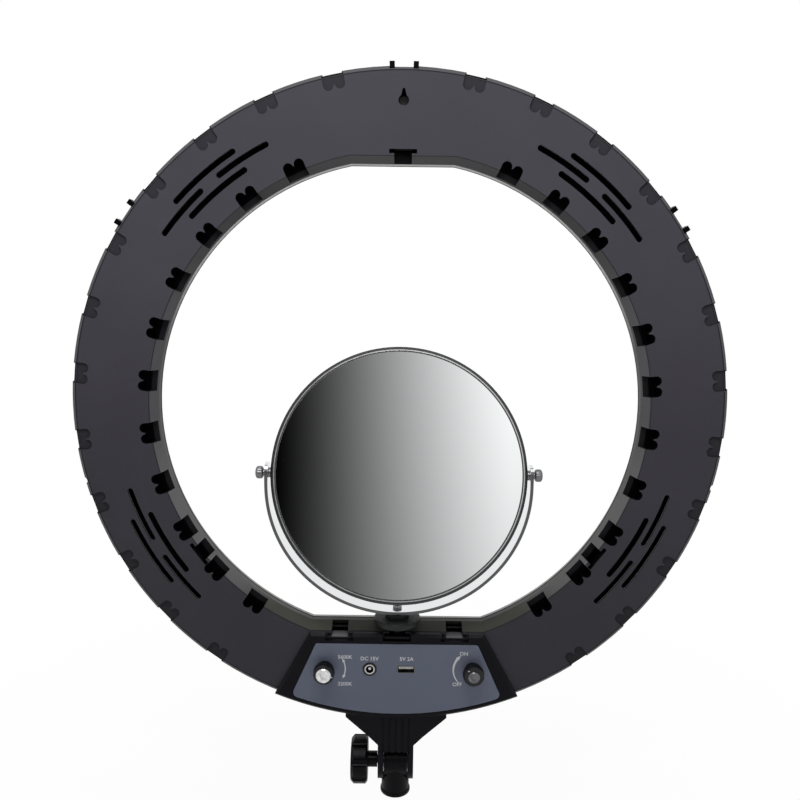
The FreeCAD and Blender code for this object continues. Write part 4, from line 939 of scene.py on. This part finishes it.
@dataclass
class Control:
    """One control: its fixed part behind the panel and the knob that turns.

    Attributes:
        side: which of the two controls it is.
        pointer_angle: direction of the white line, in degrees from +X towards +Z.
        cap: the finish of the knob's cap.
        pointer_start: where the line starts from the knob's axis.
        pointer_stop: where it ends.
        pointer_width: the line's width.
        pointer_height: how far the line stands proud.
    """

    side: Side
    pointer_angle: float
    cap: Finish = CAP
    pointer_start: float = 5.7 * MM
    pointer_stop: float = 6.9 * MM
    pointer_width: float = 0.9 * MM
    pointer_height: float = 0.08 * MM

    def build(self, frame: dict) -> None:
        """Dresses the control and lays the white line on its knob."""
        word = self.side.value
        low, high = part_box(f"{word}_knob")
        centre = ((low.x + high.x) / 2, (low.y + high.y) / 2, (low.z + high.z) / 2)
        cap = replace(self.cap, name=f"{word}_cap_turned", centre=centre)
        dress(
            {
                f"{word}_pot": COMPONENT,
                f"{word}_nut": STEEL,
                f"{word}_shaft": STEEL,
                f"{word}_knob": KNOB,
                f"{word}_cap": cap,
            },
            frame,
        )
        line = self._pointer(centre, low.y)
        add_piece(f"{word}_pointer", line, INK, f"{word}_control")

    def _pointer(self, centre: Triple, face: float) -> bpy.types.Mesh:
        """A thin line with round ends on the knob's face.

        The ring at share t along the line has its middle at start + t (stop - start)
        from the axis and a width that falls to nothing at both ends as the square
        root of 1 - (2t - 1)^8, so that the ends are rounded.

        Args:
            centre: the knob's middle.
            face: the knob's front, along Y.

        Returns:
            The line as a closed solid.
        """
        share = (1.0 - np.cos(np.linspace(0.0, math.pi, 17))) / 2.0
        wide = self.pointer_width * np.sqrt(np.clip(1.0 - (2.0 * share - 1.0) ** 8, 1e-3, 1.0))
        reach = self.pointer_start + share * (self.pointer_stop - self.pointer_start)
        turn = math.radians(self.pointer_angle)
        along = np.array([math.cos(turn), 0.0, math.sin(turn)])
        across = np.array([-math.sin(turn), 0.0, math.cos(turn)])
        side = np.array([-0.5, 0.5, 0.5, -0.5])[None, :, None] * wide[:, None, None] * across
        proud = np.array([0.0, -self.pointer_height, 0.0])
        out = np.array([0.0, 0.0, 1.0, 1.0])[None, :, None] * proud
        base = np.array([centre[0], face, centre[2]])
        rows = base + reach[:, None, None] * along + side + out
        return lofted("pointer", rows)


@dataclass
class TiltClamp:
    """The ribbed bracket, its bolt and large knob, and the stand's socket."""

    finishes: dict[str, Finish] = field(
        default_factory=lambda: {
            "neck_bracket": HOUSING,
            "neck_screws": STEEL,
            "tilt_nut": STEEL,
            "tilt_bolt": BLACK_METAL,
            "tilt_knob": CLAMP_KNOB,
            "stand_adapter": BLACK_METAL,
            "friction_washers": WASHER,
            "lock_screw": STEEL,
            "lock_knob": CLAMP_KNOB,
        }
    )

    def build(self, frame: dict) -> None:
        """Dresses the clamp and the socket."""
        dress(self.finishes, frame)


@dataclass
class VanityMirror:
    """The mirror with its yoke, foot and clamping wheel.

    Attributes:
        finishes: the finish of each node.
        grip_radius: largest radius of the grip round a pivot knob's head.
        grip_length: the grip's length.
        grip_flutes: how many flutes it has.
        grip_depth: how deep they are.
    """

    finishes: dict[str, Finish] = field(
        default_factory=lambda: {
            "mirror_foot": CLAMP_KNOB,
            "lock_wheel": WHEEL,
            "mirror_base": WHEEL,
            "mirror_yoke": YOKE,
            "yoke_screw": YOKE_SCREW,
            "mirror_frame": RIM,
            "mirror_core": CORE,
            "mirror_glass_plain": SILVERING,
            "mirror_glass_magnifying": SILVERING,
            "pivot_knob_left": PIVOT,
            "pivot_knob_right": PIVOT,
            "pivot_washers": PIVOT_WASHER,
        }
    )

    grip_radius: float = 4.7 * MM
    grip_length: float = 5.9 * MM
    grip_flutes: int = 24
    grip_depth: float = 0.12 * MM

    def build(self, frame: dict) -> None:
        """Dresses the mirror's nodes and puts a grip round each pivot knob."""
        dress(self.finishes, frame)
        for side in ("left", "right"):
            name = f"pivot_grip_{side}"
            grip = self._grip(name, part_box(f"pivot_knob_{side}"))
            add_piece(name, grip, PIVOT, "mirror")

    def _grip(self, name: str, box: tuple[Vector, Vector]) -> bpy.types.Mesh:
        """A knurled barrel round the head of a pivot knob.

        Ring i lies at share s of the head's length and has the radius
        R (1 - 0.45 |2s - 1|^5), and at angle a that radius is less by a flute's depth
        where cos na is -1, with n flutes.

        Args:
            name: the grip's name.
            box: lowest and highest corner of the knob with its pin.

        Returns:
            The barrel as a closed solid.
        """
        low, high = box
        sign = -1.0 if low.x + high.x < 0.0 else 1.0
        tip = low.x if sign < 0.0 else high.x
        share = (1.0 - np.cos(np.linspace(0.0, math.pi, 15))) / 2.0
        turn = np.linspace(0.0, 2.0 * math.pi, 96, endpoint=False)
        body = self.grip_radius * (1.0 - 0.45 * np.abs(2.0 * share - 1.0) ** 5)
        flute = self.grip_depth / 2 * (1.0 - np.cos(self.grip_flutes * turn))
        radius = body[:, None] - flute[None, :]
        along = 0.15 * MM - share[:, None] * self.grip_length
        x = tip + sign * along + np.zeros_like(radius)
        y = (low.y + high.y) / 2 + radius * np.cos(turn)
        z = (low.z + high.z) / 2 + radius * np.sin(turn)
        return lofted(name, np.stack([x, y, z], -1))


# ------------------------------------------------------------------ studio


@dataclass
class Camera:
    """The camera at the photograph's place.

    Attributes:
        target: the point that it looks at.
        distance: how far it stands from the target.
        elevation: its height above the target, in degrees.
        azimuth: its turn round the object, in degrees.
        roll: its turn about its own axis, in degrees.
        lens: focal length in millimetres.
    """

    target: Vector = field(default_factory=lambda: Vector((0.0, -12.0 * MM, 317.7 * MM)))
    distance: float = 553.4 * MM
    elevation: float = 8.33
    azimuth: float = -0.06
    roll: float = 0.73
    lens: float = 34.14

    def build(self) -> bpy.types.Object:
        """Creates the camera and makes it the scene's own.

        Returns:
            The camera object.
        """
        data = bpy.data.cameras.new("camera")
        data.sensor_fit, data.sensor_width, data.lens = "HORIZONTAL", 36.0, self.lens
        data.clip_start, data.clip_end = 0.01, 100.0
        camera = in_scene("camera", data)
        turn, rise, lean = (math.radians(a) for a in (self.azimuth, self.elevation, self.roll))
        back = Vector(
            (math.sin(turn) * math.cos(rise), -math.cos(turn) * math.cos(rise), math.sin(rise))
        )
        right = Vector((math.cos(turn), math.sin(turn), 0.0))
        up = back.cross(right)
        across = right * math.cos(lean) + up * math.sin(lean)
        above = up * math.cos(lean) - right * math.sin(lean)
        pose = Matrix((across, above, back)).transposed().to_4x4()
        pose.translation = self.target + back * self.distance
        camera.matrix_world = pose
        bpy.context.scene.camera = camera
        return camera


@dataclass
class Studio:
    """A white floor and surround, soft lamps and the card that the mirror shows.

    Attributes:
        surround_light: strength of the white surround as a light.
        key_power: watts of the large lamp above the camera.
        front_power: watts of the lamp on the lit side, which no surface mirrors.
        shade_top: height of the board that shades the low parts from the key lamp.
        shade_distance: how far it stands behind the lamp's back.
        shade_half: half its width and half its height.
        card_distance: how far the card stands from the mirror.
        card_side: the card's side.
        card_ramp: where along X the card starts to grow light and where it is lightest.
        card_curve: power of that ramp's fall, 1 for an even one.
        card_rise: its light at the low end and at the high end of card_heights.
        card_heights: the two heights between which its light rises.
        floor_radius: radius of the floor.
        floor_seen: how white the floor is where it is seen, at its middle and further out.
        floor_fade: the distances from the middle between which that changes.
    """

    surround_light: float = 0.22
    key_power: float = 12.6
    front_power: float = 9.0
    shade_top: float = 0.56
    shade_distance: float = 0.25
    shade_half: tuple[float, float] = (0.6, 0.2)
    card_distance: float = 0.9
    card_side: float = 0.62
    card_ramp: tuple[float, float] = (-0.256, 0.22)
    card_curve: float = 1.25
    card_rise: tuple[float, float] = (0.75, 1.10)
    card_heights: tuple[float, float] = (0.25, 0.71)
    floor_radius: float = 12.0
    floor_seen: tuple[float, float] = (0.96, 1.0)
    floor_fade: tuple[float, float] = (0.1, 0.5)

    def build(self) -> None:
        """Sets the stage."""
        bpy.context.scene.view_settings.view_transform = "Standard"
        self._surround()
        self._floor()
        self._lamp("key", (-0.1, -0.75, 1.3), (0.0, 0.0, 0.5), 0.7, self.key_power)
        front = self._lamp("front", (0.3, 1.4, 0.9), (0.0, 0.0, 0.3), 0.8, self.front_power)
        front.visible_glossy = False
        self._card()
        self._shade()

    def _seen(self, bench: NodeBench) -> Socket:
        """1 for camera, mirror-like and see-through rays, and 0 for all others."""
        path = bench.add("ShaderNodeLightPath").outputs
        direct = bench.sum("MAXIMUM", path["Is Camera Ray"], path["Is Glossy Ray"])
        return bench.sum("MAXIMUM", direct, path["Is Transmission Ray"])

    def _surround(self) -> None:
        """The world: white where it is seen or mirrored, and a plain level of light elsewhere."""
        world = bpy.data.worlds.new("surround")
        bpy.context.scene.world = world
        bench = emptied(world)
        strength = bench.spread(self._seen(bench), 0.0, 1.0, self.surround_light, 1.0)
        backdrop = bench.add("ShaderNodeBackground", {
            "Color": (1.0, 1.0, 1.0, 1.0), "Strength": strength,
        })
        bench.add("ShaderNodeOutputWorld", {"Surface": backdrop.outputs["Background"]})

    def _floor(self) -> None:
        """A wide pale floor that is white where it is seen and keeps a soft shadow.

        The floor is a fan of rings: at share u of the radius and angle v the point is
        (R u cos v, R u sin v), a little under the object.
        """
        rings, steps = 24, 96
        share = np.linspace(0.001, 1.0, rings) ** 2
        turn = np.linspace(0.0, 2.0 * math.pi, steps, endpoint=False)
        radius = self.floor_radius * share[:, None]
        x, y = radius * np.cos(turn), radius * np.sin(turn)
        points = np.stack([x, y, np.full_like(x, -0.4 * MM)], -1).reshape(-1, 3)
        i, j = np.meshgrid(np.arange(rings - 1), np.arange(steps), indexing="ij")
        after = (j + 1) % steps
        inner, outer = i * steps, (i + 1) * steps
        quads = np.stack([inner + j, outer + j, outer + after, inner + after], -1).reshape(-1, 4)
        mesh = solid("floor", points, [*quads.tolist(), list(range(steps))])
        floor = in_scene("floor", mesh)
        material = bpy.data.materials.new("floor_white_vinyl")
        bench = emptied(material)
        reach = bench.vector("LENGTH", bench.place()).outputs["Value"]
        white = bench.spread(reach, *self.floor_fade, *self.floor_seen)
        share_seen = bench.sum("MULTIPLY", self._seen(bench), white)
        lit = bench.add("ShaderNodeBsdfDiffuse", {"Color": (0.85, 0.85, 0.85, 1.0)})
        glow = bench.add("ShaderNodeEmission")
        mixed = bench.add("ShaderNodeMixShader")
        bench.feed(mixed.inputs, (share_seen, lit.outputs["BSDF"], glow.outputs["Emission"]))
        bench.add("ShaderNodeOutputMaterial", {"Surface": mixed.outputs["Shader"]})
        mesh.materials.append(material)

    def _lamp(
        self, name: str, place: Triple, aim: Triple, side: float, power: float
    ) -> bpy.types.Object:
        """Hangs a square soft lamp.

        Args:
            name: the lamp's name.
            place: where it hangs.
            aim: the point that it faces.
            side: its side.
            power: its watts.

        Returns:
            The lamp.
        """
        data = bpy.data.lights.new(name, "AREA")
        data.shape, data.size, data.energy = "SQUARE", side, power
        lamp = in_scene(name, data)
        lamp.location = place
        lamp.rotation_mode = "QUATERNION"
        lamp.rotation_quaternion = (Vector(aim) - Vector(place)).to_track_quat("-Z", "Y")
        return lamp

    def _card(self) -> None:
        """Stands a card behind the camera, dark on the left and white on the right.

        Only mirror-like rays meet it.  It faces the mirror squarely: its middle lies
        on the mirror's own axis, worked out from the box of the glass.
        """
        low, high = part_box("mirror_glass_plain")
        middle = (low + high) / 2
        lean = math.radians(-MIRROR_LEAN)
        outward = Vector((0.0, -math.cos(lean), math.sin(lean)))
        up = Vector((0.0, math.sin(lean), math.cos(lean)))
        bench, strength = self._sheet(
            "card", middle + outward * self.card_distance, Vector((1.0, 0.0, 0.0)), up,
            self.card_side / 2, self.card_side / 2,
        )
        split = bench.add("ShaderNodeSeparateXYZ", {"Vector": bench.place()}).outputs
        left = bench.spread(split["X"], *self.card_ramp, 1.0, 0.0)
        tone = bench.sum("SUBTRACT", 1.0, bench.sum("POWER", left, self.card_curve))
        light = bench.sum("POWER", tone, DISPLAY_GAMMA)
        rise = bench.spread(split["Z"], *self.card_heights, *self.card_rise)
        bench.feed([strength], (bench.sum("MULTIPLY", light, rise),))

    def _shade(self) -> None:
        """Stands a board between the key lamp and the low parts, met only by shadow rays."""
        middle = Vector((0.0, -self.shade_distance, self.shade_top - self.shade_half[1]))
        across, up = Vector((1.0, 0.0, 0.0)), Vector((0.0, 0.0, 1.0))
        self._sheet("shade", middle, across, up, *self.shade_half)
        board = bpy.data.objects["shade"]
        board.visible_glossy, board.visible_shadow = False, True

    def _sheet(
        self, name: str, middle: Vector, across: Vector, up: Vector,
        half_width: float, half_height: float,
    ) -> tuple[NodeBench, Socket]:
        """Makes a glowing rectangle that only mirror-like rays meet.

        Its corners are middle plus and minus half_width across and half_height up.

        Args:
            name: the sheet's name.
            middle: its middle.
            across: unit vector along its width.
            up: unit vector along its height.
            half_width: half its width.
            half_height: half its height.

        Returns:
            Its material's bench and the socket of its glow's strength.
        """
        sign = np.array([[-1.0, -1.0], [1.0, -1.0], [1.0, 1.0], [-1.0, 1.0]])
        points = np.array(middle) + sign[:, :1] * half_width * np.array(across)
        points = points + sign[:, 1:] * half_height * np.array(up)
        mesh = solid(name, points, [[0, 1, 2, 3]])
        sheet = in_scene(name, mesh)
        for ray in ("visible_camera", "visible_diffuse", "visible_shadow", "visible_transmission"):
            setattr(sheet, ray, False)
        material = bpy.data.materials.new(f"{name}_glow")
        bench = emptied(material)
        glow = bench.add("ShaderNodeEmission")
        bench.add("ShaderNodeOutputMaterial", {"Surface": glow.outputs["Emission"]})
        mesh.materials.append(material)
        return bench, glow.inputs["Strength"]


def main() -> None:
    """Loads the frame, dresses it, adds the marks and grips and sets the stage."""
    logging.basicConfig(level=logging.INFO, format="%(message)s")
    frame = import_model()
    Camera().build()
    RingBody().build(frame)
    ControlPanel().build(frame)
    Control(Side.COLOUR, pointer_angle=-12.0).build(frame)
    Control(Side.DIMMER, pointer_angle=128.0, cap=DULL_CAP).build(frame)
    TiltClamp().build(frame)
    VanityMirror().build(frame)
    Studio().build()


if __name__ == "__main__":
    main()
